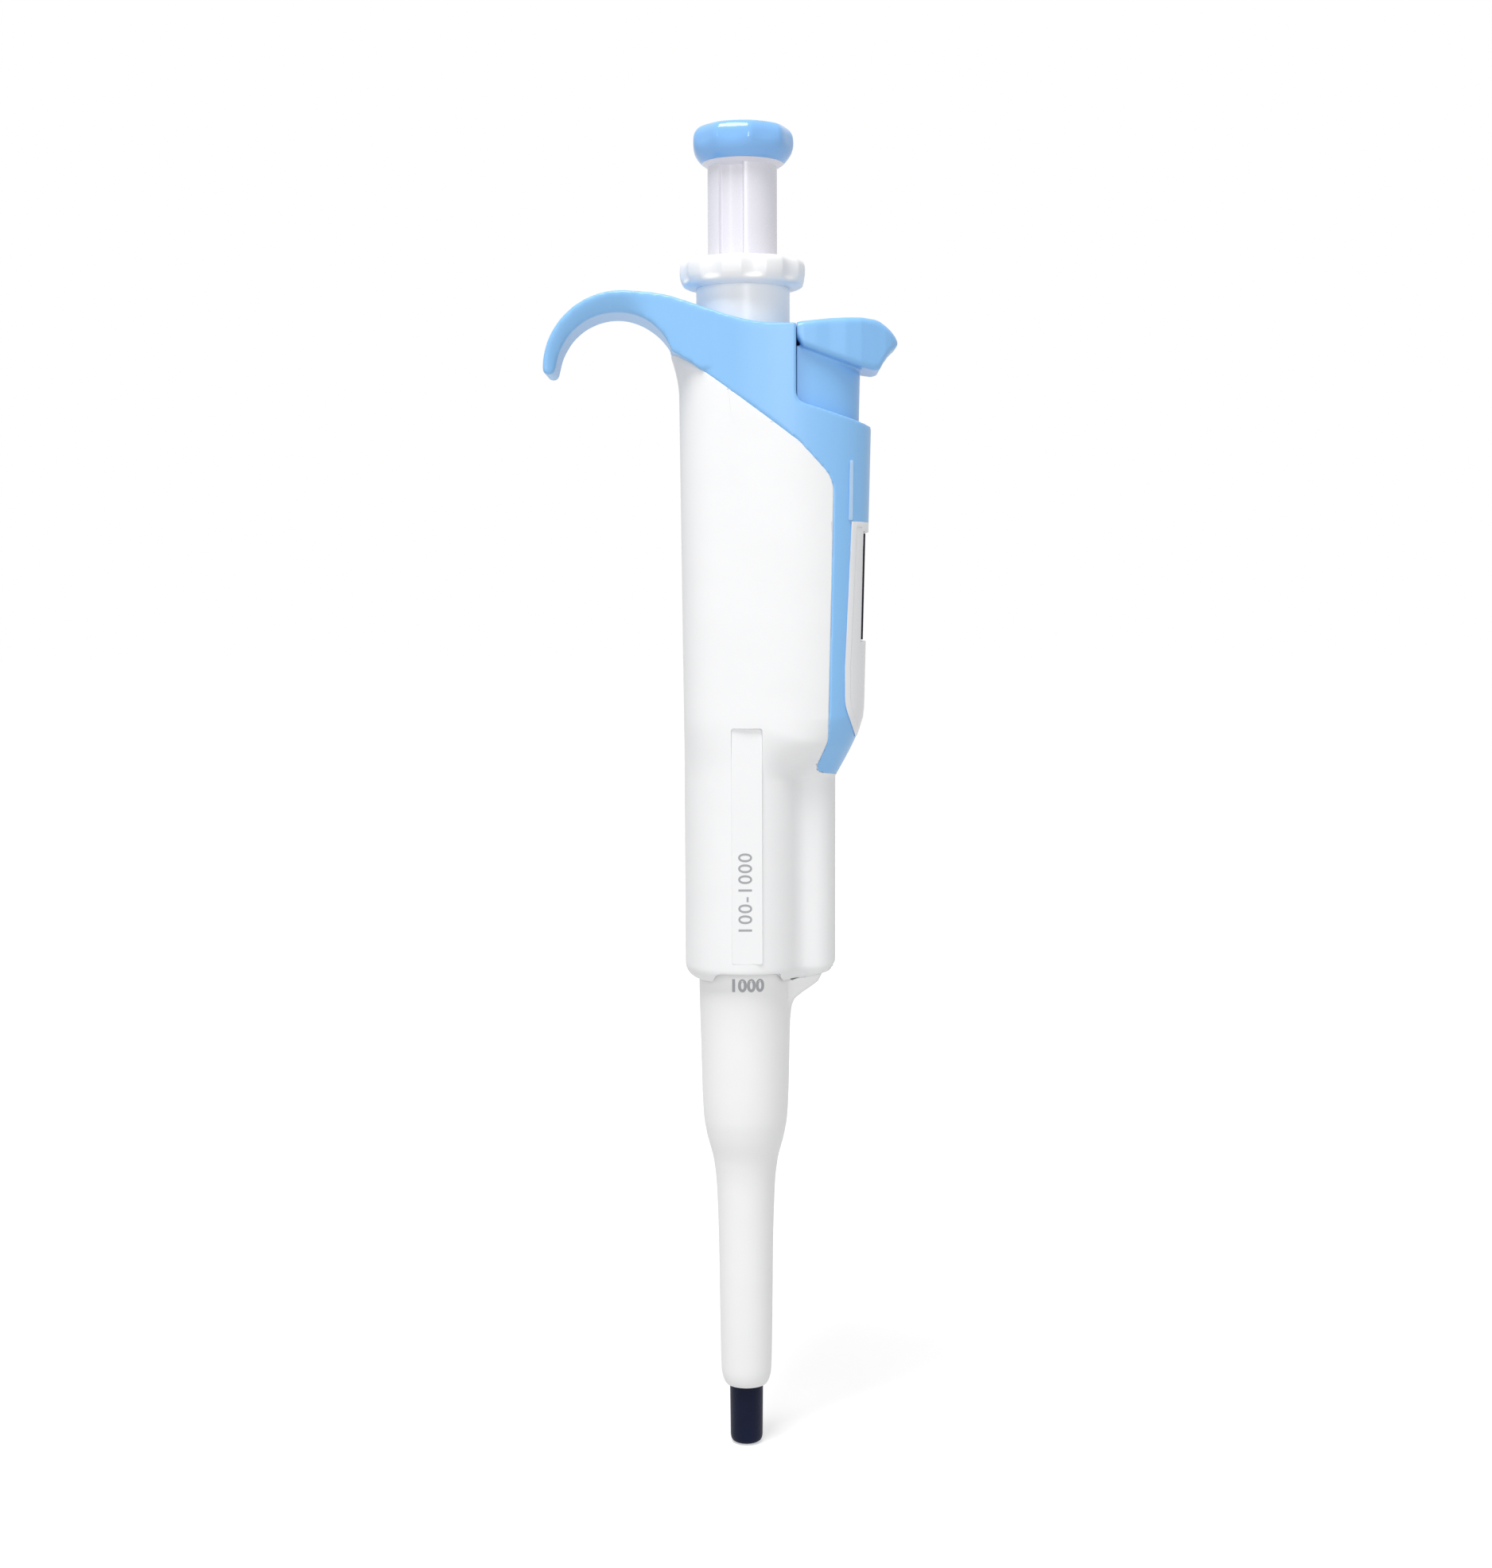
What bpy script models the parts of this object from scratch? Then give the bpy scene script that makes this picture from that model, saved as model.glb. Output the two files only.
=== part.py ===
"""A single-channel micropipette, 100 to 1000 microlitres, modelled piece by piece in metres.

+Z runs up the instrument from the nozzle's end, the finger hook points to -X and the volume
window and the tip ejector face +X. Heights are chained from the nozzle's end upward.
"""
import math

import bmesh
import bpy
from mathutils import Matrix, Vector

# Clearances and walls
GAP = 0.0003
WALL = 0.0015
UPPER_WALL = 0.0019

# Outside heights, each measured from the end of the one before it
NOZZLE_REACH = 0.0112
SLEEVE_LENGTH = 0.07655
GRIP_LENGTH = 0.0366
SHOULDER_LENGTH = 0.0115
UPPER_LENGTH = 0.0695
NECK_HEIGHT = 0.00715
RING_HEIGHT = 0.00495
STEM_EXPOSED = 0.01705
CAP_HEIGHT = 0.00635

# The grip's plan: a barrel on the axis with a narrow ejector channel in front of it
BARREL_RADIUS = 0.01095
CHANNEL_RADIUS = 0.0046
CHANNEL_X = 0.0120
FOOT_ROUNDING = 0.0024
NOTCH_HALF_WIDTH = 0.0056
NOTCH_RISE = 0.0020
NOTCH_ROUNDING = 0.0011

# The upper body's plan: an oval that leans forward as it rises
UPPER_BACK = 0.0110
UPPER_FRONT = 0.0218
UPPER_HALF_WIDTH = 0.0114
BACK_LEAN = 0.0095
FRONT_LEAN = 0.0232
OVAL_POWER = 2.5
BACK_FLARE = 0.00148
FLARE_DROP = 0.0115
FLARE_HEIGHT = 0.0069
PLAN_CENTRE_X = 0.0020

# The finger hook and the pocket for the ejector
HOOK_CENTRE_X = -0.02265
HOOK_DROP = 0.00835
HOOK_INNER_RADIUS = 0.01075
HOOK_OUTER_RADIUS = 0.0130
HOOK_SPREAD = 0.127
HOOK_TIP_RADIUS = 0.00115
HOOK_TIP_HALF_WIDTH = 0.0062
HOOK_ROOT_HALF_WIDTH = 0.0100
HOOK_EDGE = 0.0009
POCKET_X = 0.0093
POCKET_DEPTH = 0.0137

# The window, its bezel and its lens
WINDOW_DROP = 0.0363
WINDOW_LENGTH = 0.0196
WINDOW_HALF_WIDTH = 0.0031
BEZEL_ABOVE = 0.0017
BEZEL_BELOW = 0.0172
BEZEL_SIDE_X = 0.0180
BEZEL_WALL = 0.0020
LENS_SEAT_DEPTH = 0.00106
LENS_RECESS = 0.0002
LENS_TOP_RECESS = 0.0005

# The label on the grip
LABEL_HALF_WIDTH = 0.0028
LABEL_LENGTH = 0.0424
LABEL_RISE = 0.0040
LABEL_FACE_Y = 0.01085
LABEL_THICKNESS = 0.0004
LABEL_X = 0.0004

# The volume dial
RING_RADIUS = 0.01135
RING_VALLEY = 0.0006
RING_ROUNDING = 0.0011
LOBES = 9
RING_CREST = math.radians(259.7)
CAP_CREST = math.radians(278.1)
NECK_RADIUS = 0.0084
LOWER_NECK_RADIUS = 0.0076
LOWER_NECK_DEPTH = 0.0020
DIAL_SLEEVE_RADIUS = 0.0073
DIAL_SLEEVE_HEIGHT = 0.0197
DOG_HEIGHT = 0.0016
THREAD_RADIUS = 0.0050
O_RING_RADIUS = 0.00025
O_RING_GROOVE = 0.0007
O_RING_DROP = 0.0058

# The operating button and plunger
STEM_RADIUS = 0.00627
GROOVE_DEPTH = 0.00065
GROOVE_ANGLE = math.radians(43.7)
GROOVE_START = math.radians(249.5)
CAP_RADIUS = 0.0091
CAP_NECK_RADIUS = 0.00745
CAP_CHAMFER = 0.0036
CAP_TOP_RADIUS = 0.0077
CAP_SCALLOP = 0.0004
CAP_DISH = 0.0004
FLANGE_RADIUS = 0.0073
FLANGE_HEIGHT = 0.0005
SPIGOT_RADIUS = 0.0035
SPIGOT_HEIGHT = 0.0034
ROD_RADIUS = 0.0020
ROD_SOCKET = 0.0120
COLLAR_RADIUS = 0.0031
COLLAR_HEIGHT = 0.0015
STROKE = 0.0130
BLOW_OUT = 0.0026
TRAVEL = STROKE + BLOW_OUT

# The piston and the lower housing
PISTON_RADIUS = 0.00495
PISTON_TAIL_RADIUS = 0.0025
PISTON_LENGTH = 0.0270
HEAD_RADIUS = 0.0084
HEAD_HEIGHT = 0.0030
CYLINDER_RADIUS = 0.0063
CYLINDER_FLOOR_DROP = 0.0259
NOSE_RADIUS = 0.0030
NOSE_BORE = 0.0007
HOUSING_NECK_RADIUS = 0.0068
SHOULDER_RADIUS = 0.0074
SHOULDER_DEPTH = 0.0044
SEAL_POCKET_RADIUS = 0.0061
SEAL_HEIGHT = 0.0020
WEB_RISE = 0.0033
WEB_THICKNESS = 0.0018
COUPLING_RADIUS = 0.0091
COUPLING_HEIGHT = 0.0040
WASHER_THICKNESS = 0.0010

# The ejector
SLEEVE_WALL = 0.00075
SLEEVE_RADIUS = 0.00845
SLEEVE_OVERLAP = 0.0027
SLEEVE_MOUTH_RADIUS = 0.0034
WING_HALF_WIDTH = 0.0030
EJECTOR_TRAVEL = 0.0080
EJECTOR_ROD_RADIUS = 0.0011
EJECTOR_ROD_X = 0.0122
EJECTOR_ROD_END = 0.0003
EJECTOR_RUN_X = 0.0110
EJECTOR_RUN_Y = 0.0074
EJECTOR_COLLAR_RADIUS = 0.0023
EJECTOR_COLLAR_HEIGHT = 0.0020
LIP_REACH = 0.0182
LIP_HALF_WIDTH = 0.0104
LIP_EDGE = 0.0011

# The counter and its gears
COUNTER_X = 0.01275
WHEEL_RADIUS = 0.0050
WHEEL_HEIGHT = 0.0045
WHEELS = ("thousands", "hundreds", "tens", "units")
SHAFT_RADIUS = 0.0012
GEAR_MODULE = 0.0005
DIAL_TEETH = 34
COUNTER_TEETH = 17
GEAR_HEIGHT = 0.0026
PLATE_THICKNESS = 0.0020
CLIP_THICKNESS = 0.0008

# The stop nut and its guide
NUT_RADIUS = 0.0063
NUT_LENGTH = 0.0305
NUT_THREAD = 0.0060
NUT_FLOOR = 0.0015
NUT_TRAVEL = 0.0117
NUT_KEY_WIDTH = 0.0024
GUIDE_WALL = 0.0008
GUIDE_FOOT_RADIUS = 0.0091

# The springs
PRIMARY_TURNS = 7
PRIMARY_WIRE = 0.00045
PRIMARY_RADIUS = 0.0059
BLOW_OUT_TURNS = 4
BLOW_OUT_WIRE = 0.0006
BLOW_OUT_RADIUS = 0.0080
BLOW_OUT_LENGTH = 0.0079
EJECTOR_TURNS = 8
EJECTOR_WIRE = 0.0003
EJECTOR_SPRING_RADIUS = 0.0018
EJECTOR_SPRING_LENGTH = 0.0187

# Facets
PLAN_POINTS = 38
ROUND = 24
FINE_ROUND = 54
SMALL_ROUND = 14
COIL_POINTS = 8

# Heights of the outside forms
SLEEVE_Z = NOZZLE_REACH
FOOT_Z = SLEEVE_Z + SLEEVE_LENGTH
SHOULDER_Z = FOOT_Z + GRIP_LENGTH
UPPER_Z = SHOULDER_Z + SHOULDER_LENGTH
BODY_TOP_Z = UPPER_Z + UPPER_LENGTH
RING_Z = BODY_TOP_Z + NECK_HEIGHT
RING_TOP_Z = RING_Z + RING_HEIGHT
CAP_Z = RING_TOP_Z + STEM_EXPOSED
TOP_Z = CAP_Z + CAP_HEIGHT
WINDOW_TOP_Z = BODY_TOP_Z - WINDOW_DROP
WINDOW_Z = WINDOW_TOP_Z - WINDOW_LENGTH
RIM_Z = BODY_TOP_Z - POCKET_DEPTH
HOOK_Z = BODY_TOP_Z - HOOK_DROP

# Heights inside the grip
WEB_Z = FOOT_Z + WEB_RISE
CHAMBER_Z = WEB_Z + WEB_THICKNESS
COUPLING_Z = CHAMBER_Z + GAP
HOUSING_TOP_Z = COUPLING_Z + COUPLING_HEIGHT + 0.0012
SEAT_Z = HOUSING_TOP_Z + GAP
SPRING_Z = SEAT_Z + WASHER_THICKNESS + GAP
BLOW_OUT_Z = SPRING_Z + BLOW_OUT_LENGTH + GAP
HEAD_Z = BLOW_OUT_Z + WASHER_THICKNESS + STROKE + GAP
HEAD_TOP_Z = HEAD_Z + HEAD_HEIGHT
CYLINDER_FLOOR_Z = FOOT_Z - CYLINDER_FLOOR_DROP
PISTON_Z = CYLINDER_FLOOR_Z + TRAVEL + 0.0004
SEAL_POCKET_Z = FOOT_Z - 0.0024

# Heights inside the upper body
WHEEL_PITCH = WHEEL_HEIGHT + GAP
STACK_Z = (WINDOW_Z + WINDOW_TOP_Z - len(WHEELS) * WHEEL_PITCH) / 2
STACK_TOP_Z = STACK_Z + len(WHEELS) * WHEEL_PITCH
BRACKET_Z = STACK_Z - 0.0015 - PLATE_THICKNESS
GEAR_Z = STACK_TOP_Z + 0.0029
PLATE_Z = GEAR_Z + GEAR_HEIGHT + 0.0008
LEDGE_Z = PLATE_Z + PLATE_THICKNESS + GAP
DIAL_SLEEVE_Z = LEDGE_Z
DIAL_SLEEVE_TOP_Z = DIAL_SLEEVE_Z + DIAL_SLEEVE_HEIGHT
CLIP_Z = GEAR_Z - GAP - CLIP_THICKNESS
NUT_TOP_Z = CLIP_Z - 0.0010
NUT_Z = NUT_TOP_Z - NUT_LENGTH
THREAD_END_Z = NUT_TOP_Z - NUT_THREAD - NUT_TRAVEL - 0.0006
STEM_END_Z = BODY_TOP_Z - 0.0059
STEM_FLOOR_Z = STEM_END_Z - TRAVEL - 0.0010
GUIDE_Z = HEAD_TOP_Z + 0.0010
GUIDE_TOP_Z = CLIP_Z - GAP
EJECTOR_STEM_Z = RIM_Z - 0.0048


def clear_scene():
    for item in list(bpy.data.objects):
        bpy.data.objects.remove(item, do_unlink=True)


def collection(name):
    made = bpy.data.collections.new(name)
    bpy.context.scene.collection.children.link(made)
    return made


clear_scene()
PIPETTE = collection("micropipette")
CUTTERS = collection("cutters")


def paint(piece, colour, roughness, metallic=0.0):
    """Give a piece its own Principled material."""
    material = bpy.data.materials.new(piece.name)
    material.use_nodes = True
    shader = material.node_tree.nodes["Principled BSDF"]
    shader.inputs["Base Color"].default_value = (*colour, 1.0)
    shader.inputs["Roughness"].default_value = roughness
    shader.inputs["Metallic"].default_value = metallic
    piece.data.materials.clear()
    piece.data.materials.append(material)


BLUE = ((0.27, 0.53, 0.89), 0.35)
WHITE = ((0.86, 0.87, 0.88), 0.40)
LAVENDER = ((0.80, 0.80, 0.86), 0.40)
GREY = ((0.62, 0.64, 0.67), 0.40)
NAVY = ((0.02, 0.025, 0.07), 0.35)
SMOKE = ((0.05, 0.06, 0.07), 0.10)
PAPER = ((0.88, 0.88, 0.88), 0.60)
STEEL = ((0.56, 0.57, 0.58), 0.25, 1.0)
CERAMIC = ((0.75, 0.74, 0.70), 0.20)
RUBBER = ((0.03, 0.03, 0.03), 0.70)
ACETAL = ((0.08, 0.08, 0.09), 0.45)


def piece(name, mesh, location=(0, 0, 0)):
    """An object in the model's own collection."""
    made = bpy.data.objects.new(name, mesh)
    PIPETTE.objects.link(made)
    made.location = location
    return made


def combine(target, tool, operation):
    """Join a piece with a tool, cut it or keep what they share; the tool is then hidden."""
    boolean = target.modifiers.new(operation.lower(), "BOOLEAN")
    boolean.operation = operation
    boolean.object = tool
    boolean.solver = "EXACT"
    tool.hide_render = True
    tool.display_type = "WIRE"
    if tool.name in PIPETTE.objects:
        PIPETTE.objects.unlink(tool)
        CUTTERS.objects.link(tool)


def turned(name, profile, steps=ROUND, x=0.0):
    """A turned piece; the profile's radii and heights run down its outer side."""
    mesh = bpy.data.meshes.new(name)
    count = len(profile)
    edges = [(i, i + 1) for i in range(count - 1)]
    if profile[0][0] > 0:
        edges.append((count - 1, 0))
    mesh.from_pydata([(radius, 0, height) for radius, height in profile], edges, [])
    made = piece(name, mesh, (x, 0, 0))
    screw = made.modifiers.new("turn", "SCREW")
    screw.steps = steps
    screw.render_steps = steps
    screw.use_merge_vertices = True
    screw.merge_threshold = 0.00001
    return made


def ring(name, inner, outer, bottom, height, steps=ROUND, x=0.0):
    """A plain ring, washer or tube."""
    top = bottom + height
    profile = [(inner, top), (outer, top), (outer, bottom), (inner, bottom)]
    return turned(name, profile, steps, x)


def rod(name, radius, bottom, top, steps=SMALL_ROUND, x=0.0, y=0.0):
    """A plain solid cylinder along +Z."""
    work = bmesh.new()
    middle = Matrix.Translation((x, y, (bottom + top) / 2))
    bmesh.ops.create_cone(
        work, cap_ends=True, segments=steps, radius1=radius, radius2=radius,
        depth=top - bottom, matrix=middle,
    )
    mesh = bpy.data.meshes.new(name)
    work.to_mesh(mesh)
    work.free()
    return piece(name, mesh)


def block(name, low, high):
    """A box between two corners."""
    work = bmesh.new()
    size = [b - a for a, b in zip(low, high)]
    middle = [(a + b) / 2 for a, b in zip(low, high)]
    bmesh.ops.create_cube(work, size=1, matrix=Matrix.LocRotScale(Vector(middle), None, Vector(size)))
    mesh = bpy.data.meshes.new(name)
    work.to_mesh(mesh)
    work.free()
    return piece(name, mesh)


def filleted(corners, steps=5):
    """A closed outline through corners (x, y) or (x, y, radius), each radius drawn as an arc."""
    outline = []
    count = len(corners)
    for index, corner in enumerate(corners):
        here = Vector(corner[:2])
        radius = corner[2] if len(corner) > 2 else 0
        if not radius:
            outline.append(here)
            continue
        back = (Vector(corners[index - 1][:2]) - here)
        ahead = (Vector(corners[(index + 1) % count][:2]) - here)
        half = back.angle(ahead) / 2
        reach = min(radius / math.tan(half), back.length * 0.49, ahead.length * 0.49)
        radius = reach * math.tan(half)
        centre = here + (back.normalized() + ahead.normalized()).normalized() * (radius / math.sin(half))
        start = here + back.normalized() * reach - centre
        end = here + ahead.normalized() * reach - centre
        turn = start.angle_signed(end)
        for step in range(steps + 1):
            outline.append(centre + Matrix.Rotation(-turn * step / steps, 2) @ start)
    return outline


def flat(name, outlines, thickness, matrix=None):
    """A flat outline, with any holes in it, given a thickness and made a mesh."""
    curve = bpy.data.curves.new(name, "CURVE")
    curve.dimensions = "2D"
    curve.fill_mode = "BOTH"
    curve.extrude = thickness / 2
    curve.render_resolution_u = 0
    for outline in outlines:
        spline = curve.splines.new("POLY")
        spline.points.add(len(outline) - 1)
        spline.use_cyclic_u = True
        for point, place in zip(spline.points, outline):
            point.co = (place[0], place[1], 0, 1)
    return meshed(name, curve, matrix)


def meshed(name, curve, matrix=None):
    """A curve as a closed mesh piece."""
    drawn = bpy.data.objects.new(name + "_curve", curve)
    PIPETTE.objects.link(drawn)
    graph = bpy.context.evaluated_depsgraph_get()
    mesh = bpy.data.meshes.new_from_object(drawn.evaluated_get(graph))
    bpy.data.objects.remove(drawn, do_unlink=True)
    work = bmesh.new()
    work.from_mesh(mesh)
    bmesh.ops.remove_doubles(work, verts=work.verts, dist=0.000001)
    if matrix:
        work.transform(matrix)
    bmesh.ops.recalc_face_normals(work, faces=work.faces)
    work.to_mesh(mesh)
    work.free()
    return piece(name, mesh)


SIDE_VIEW = Matrix.Rotation(math.radians(90), 4, "X")


def side_prism(name, outline, width, edge=0.0, root=None, tip=None):
    """An outline seen from the side (x, z), as wide as given along Y.

    root and tip are (x, half width) pairs that taper the piece along X.
    """
    made = flat(name, [outline], width, SIDE_VIEW)
    if root:
        for vertex in made.data.vertices:
            share = (vertex.co.x - root[0]) / (tip[0] - root[0])
            half = root[1] + (tip[1] - root[1]) * share
            vertex.co.y = math.copysign(half, vertex.co.y)
    if edge:
        bevel = made.modifiers.new("edge", "BEVEL")
        bevel.width = edge
        bevel.segments = 2
        bevel.limit_method = "ANGLE"
        bevel.angle_limit = math.radians(50)
    return made


def coil(name, radius, wire, bottom, top, turns, x=0.0):
    """A compression spring between two seats, its end turns lying flat on them."""
    low = bottom + wire
    high = top - wire
    count = turns * COIL_POINTS
    curve = bpy.data.curves.new(name, "CURVE")
    curve.dimensions = "3D"
    curve.bevel_depth = wire
    curve.bevel_resolution = 1
    curve.use_fill_caps = True
    curve.render_resolution_u = 0
    spline = curve.splines.new("POLY")
    spline.points.add(count)
    dead = 1 / turns
    for step in range(count + 1):
        share = step / count
        rise = min(max((share - dead * 0.75) / (1 - dead * 1.5), 0), 1)
        lift = wire * 2.1 * (min(share / dead, 1) + max((share - 1) / dead + 1, 0))
        angle = math.tau * turns * share
        span = high - low - wire * 4.2
        height = low + lift + span * rise
        spline.points[step].co = (x + radius * math.cos(angle), radius * math.sin(angle), height, 1)
    made = meshed(name, curve)
    return made


def oval_reach(angle, height, inset):
    """The upper body's plan, as a distance from the plan's centre; its back flares into the hook."""
    rise = height - UPPER_Z
    front = UPPER_FRONT + FRONT_LEAN * rise - PLAN_CENTRE_X - inset
    back = UPPER_BACK + BACK_LEAN * rise + PLAN_CENTRE_X - inset
    flare = min(max((height - BODY_TOP_Z + FLARE_DROP) / FLARE_HEIGHT, 0), 1) ** 1.6
    back += BACK_FLARE * flare * max(-math.cos(angle), 0) ** 3
    along = front if math.cos(angle) > 0 else back
    half = UPPER_HALF_WIDTH - inset
    total = abs(math.cos(angle) / along) ** OVAL_POWER + abs(math.sin(angle) / half) ** OVAL_POWER
    return total ** (-1 / OVAL_POWER)


def grip_reach(angle, inset):
    """The grip's plan: a barrel and an ejector channel run together by a small fillet."""
    barrel = BARREL_RADIUS - inset
    side = PLAN_CENTRE_X * math.sin(angle)
    reach = math.sqrt(barrel ** 2 - side ** 2) - PLAN_CENTRE_X * math.cos(angle)
    channel = CHANNEL_RADIUS - inset
    offset = CHANNEL_X - PLAN_CENTRE_X
    side = offset * math.sin(angle)
    if abs(side) < channel and math.cos(angle) > 0:
        second = offset * math.cos(angle) + math.sqrt(channel ** 2 - side ** 2)
        blend = 40
        reach = max(reach, second) * (1 + (min(reach, second) / max(reach, second)) ** blend) ** (1 / blend)
    return reach


def body_reach(angle, height, inset):
    """The body's plan at any height: the grip's below the shoulder, the oval above it.

    The shoulder is S-shaped behind and at the sides, and nearly straight down the front.
    """
    rise = min(max((height - SHOULDER_Z) / SHOULDER_LENGTH, 0), 1)
    eased = rise * rise * (3 - 2 * rise)
    straight = (math.sin(rise * math.pi / 2) + rise) / 2
    front = max(math.cos(angle), 0) ** 4
    share = eased + (straight - eased) * front
    return grip_reach(angle, inset) * (1 - share) + oval_reach(angle, height, inset) * share


def plan_angles(count=PLAN_POINTS):
    """Angles round the plan, closest together at its narrow front."""
    even = [math.tau * (i + 0.5) / count - math.pi for i in range(count)]
    return [angle - 0.45 * math.sin(angle) for angle in even]


def lofted(name, levels, reach=body_reach):
    """A closed skin through plans at rising (height, inset) levels."""
    work = bmesh.new()
    angles = plan_angles()
    rows = []
    for height, inset in levels:
        row = []
        for angle in angles:
            out = reach(angle, height, inset)
            place = (PLAN_CENTRE_X + out * math.cos(angle), out * math.sin(angle), height)
            row.append(work.verts.new(place))
        rows.append(row)
    close_rows(work, rows)
    mesh = bpy.data.meshes.new(name)
    work.to_mesh(mesh)
    work.free()
    return piece(name, mesh)


def close_rows(work, rows):
    """Skin rows of as many points each, and cap the first and last."""
    count = len(rows[0])
    for lower, upper in zip(rows, rows[1:]):
        for i in range(count):
            j = (i + 1) % count
            work.faces.new((lower[i], lower[j], upper[j], upper[i]))
    work.faces.new(list(reversed(rows[0])))
    work.faces.new(rows[-1])


def wheel_form(name, levels, count, location=(0, 0, 0)):
    """A closed skin through rising (height, radius function) levels about +Z."""
    work = bmesh.new()
    rows = []
    for height, radius_at in levels:
        row = []
        for i in range(count):
            angle = math.tau * i / count
            radius = radius_at(angle)
            row.append(work.verts.new((radius * math.cos(angle), radius * math.sin(angle), height)))
        rows.append(row)
    close_rows(work, rows)
    mesh = bpy.data.meshes.new(name)
    work.to_mesh(mesh)
    work.free()
    return piece(name, mesh, location)


def heights(bottom, top, count):
    return [bottom + (top - bottom) * i / count for i in range(count + 1)]


def outer_form(name):
    """The solid that the grip, the upper body and the bezel are all cut from."""
    steps = 3
    levels = []
    for i in range(steps + 1):
        turn = math.pi / 2 * i / steps
        rise = FOOT_ROUNDING * (1 - math.cos(turn))
        levels.append((FOOT_Z + rise, FOOT_ROUNDING * (1 - math.sin(turn))))
    levels += [(height, 0) for height in heights(SHOULDER_Z, UPPER_Z, 8)]
    flare_z = BODY_TOP_Z - FLARE_DROP
    levels += [(height, 0) for height in heights(UPPER_Z, flare_z, 2)[1:]]
    levels += [(height, 0) for height in heights(flare_z, flare_z + FLARE_HEIGHT, 4)[1:]]
    levels.append((BODY_TOP_Z + 0.0062, 0))
    return lofted(name, levels)


def hollow(target):
    """Take the mechanism's space out of a body shell."""
    name = target.name
    chamber = [(CHAMBER_Z, WALL), (SHOULDER_Z, WALL)]
    chamber += [(height, WALL) for height in heights(SHOULDER_Z, UPPER_Z, 4)[1:]]
    chamber += [(LEDGE_Z, WALL)]
    combine(target, lofted(name + "_chamber", chamber), "DIFFERENCE")
    well_top = RIM_Z + 0.0040
    upper = [(LEDGE_Z - GAP, UPPER_WALL), (RIM_Z - 0.0038, UPPER_WALL)]
    combine(target, lofted(name + "_upper_chamber", upper), "DIFFERENCE")
    well_wall = UPPER_WALL - GAP / 3
    well = lofted(name + "_well", [(RIM_Z - 0.0045, well_wall), (well_top, well_wall)])
    reach = block(name + "_well_reach", (POCKET_X, -0.02, RIM_Z - 0.01), (0.03, 0.02, well_top + 0.001))
    combine(well, reach, "INTERSECT")
    combine(target, well, "DIFFERENCE")
    bore = rod(name + "_bore", LOWER_NECK_RADIUS + GAP, RIM_Z - 0.005, BODY_TOP_Z + 0.01, ROUND)
    combine(target, bore, "DIFFERENCE")
    mouth = rod(
        name + "_mouth", NECK_RADIUS + GAP, BODY_TOP_Z - LOWER_NECK_DEPTH - GAP, BODY_TOP_Z + 0.01, ROUND
    )
    combine(target, mouth, "DIFFERENCE")


def parting_outline(shift):
    """The line between the white grip and the blue body, closed round the grip."""
    corners = [
        (-0.0300, BODY_TOP_Z - 0.0019),
        (-0.0126, BODY_TOP_Z - 0.0045, 0.0060),
        (-0.0090, BODY_TOP_Z - 0.0067, 0.0060),
        (0.0100, BODY_TOP_Z - 0.0207, 0.0100),
        (0.0160, BODY_TOP_Z - 0.0272, 0.0060),
        (0.0150, SHOULDER_Z + 0.0075, 0.0040),
        (0.0131, SHOULDER_Z + 0.0024, 0.0010),
        (0.0134, SHOULDER_Z + 0.0012, 0.0006),
        (0.0300, SHOULDER_Z - 0.0017),
        (0.0300, FOOT_Z - 0.0100),
        (-0.0300, FOOT_Z - 0.0100),
    ]
    return [point + Vector((shift, shift)) for point in filleted(corners)]


def bezel_outline(grow):
    """The bezel seen from the side; its front runs past the body's front."""
    bottom = WINDOW_Z - BEZEL_BELOW - grow
    top = WINDOW_TOP_Z + BEZEL_ABOVE + grow
    side = BEZEL_SIDE_X - grow
    corners = [
        (0.0260, top),
        (side + 0.0015, top),
        (side, WINDOW_Z - 0.0046, 0.0200),
        (side, WINDOW_Z - 0.0114, 0.0090),
        (side + 0.0021, bottom),
        (0.0260, bottom),
    ]
    return filleted(corners)


def handle_shell():
    """The white grip, open at its foot for the lower housing and ejector sleeve."""
    made = outer_form("handle_shell")
    grip = side_prism("handle_parting", parting_outline(0), 0.05)
    combine(made, grip, "INTERSECT")
    hollow(made)
    bore = rod("handle_foot_bore", SLEEVE_RADIUS + GAP, FOOT_Z - 0.01, WEB_Z, ROUND)
    combine(made, bore, "DIFFERENCE")
    neck = rod("handle_web_bore", HOUSING_NECK_RADIUS + GAP, WEB_Z - 0.001, CHAMBER_Z + 0.001, ROUND)
    combine(made, neck, "DIFFERENCE")
    hole = rod(
        "handle_rod_hole", EJECTOR_ROD_RADIUS + GAP, FOOT_Z - 0.01, CHAMBER_Z + 0.001, x=EJECTOR_ROD_X
    )
    combine(made, hole, "DIFFERENCE")
    combine(made, side_prism("handle_foot_line", foot_outline(), 0.06), "DIFFERENCE")
    combine(made, bezel_space("handle_bezel_space"), "DIFFERENCE")
    floor = LABEL_FACE_Y - LABEL_THICKNESS - GAP
    recess = block(
        "handle_label_recess",
        (LABEL_X - LABEL_HALF_WIDTH, -0.03, FOOT_Z - 0.01),
        (LABEL_X + LABEL_HALF_WIDTH, -floor, FOOT_Z + LABEL_RISE + LABEL_LENGTH),
    )
    combine(made, recess, "DIFFERENCE")
    paint(made, *WHITE)
    return made


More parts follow.
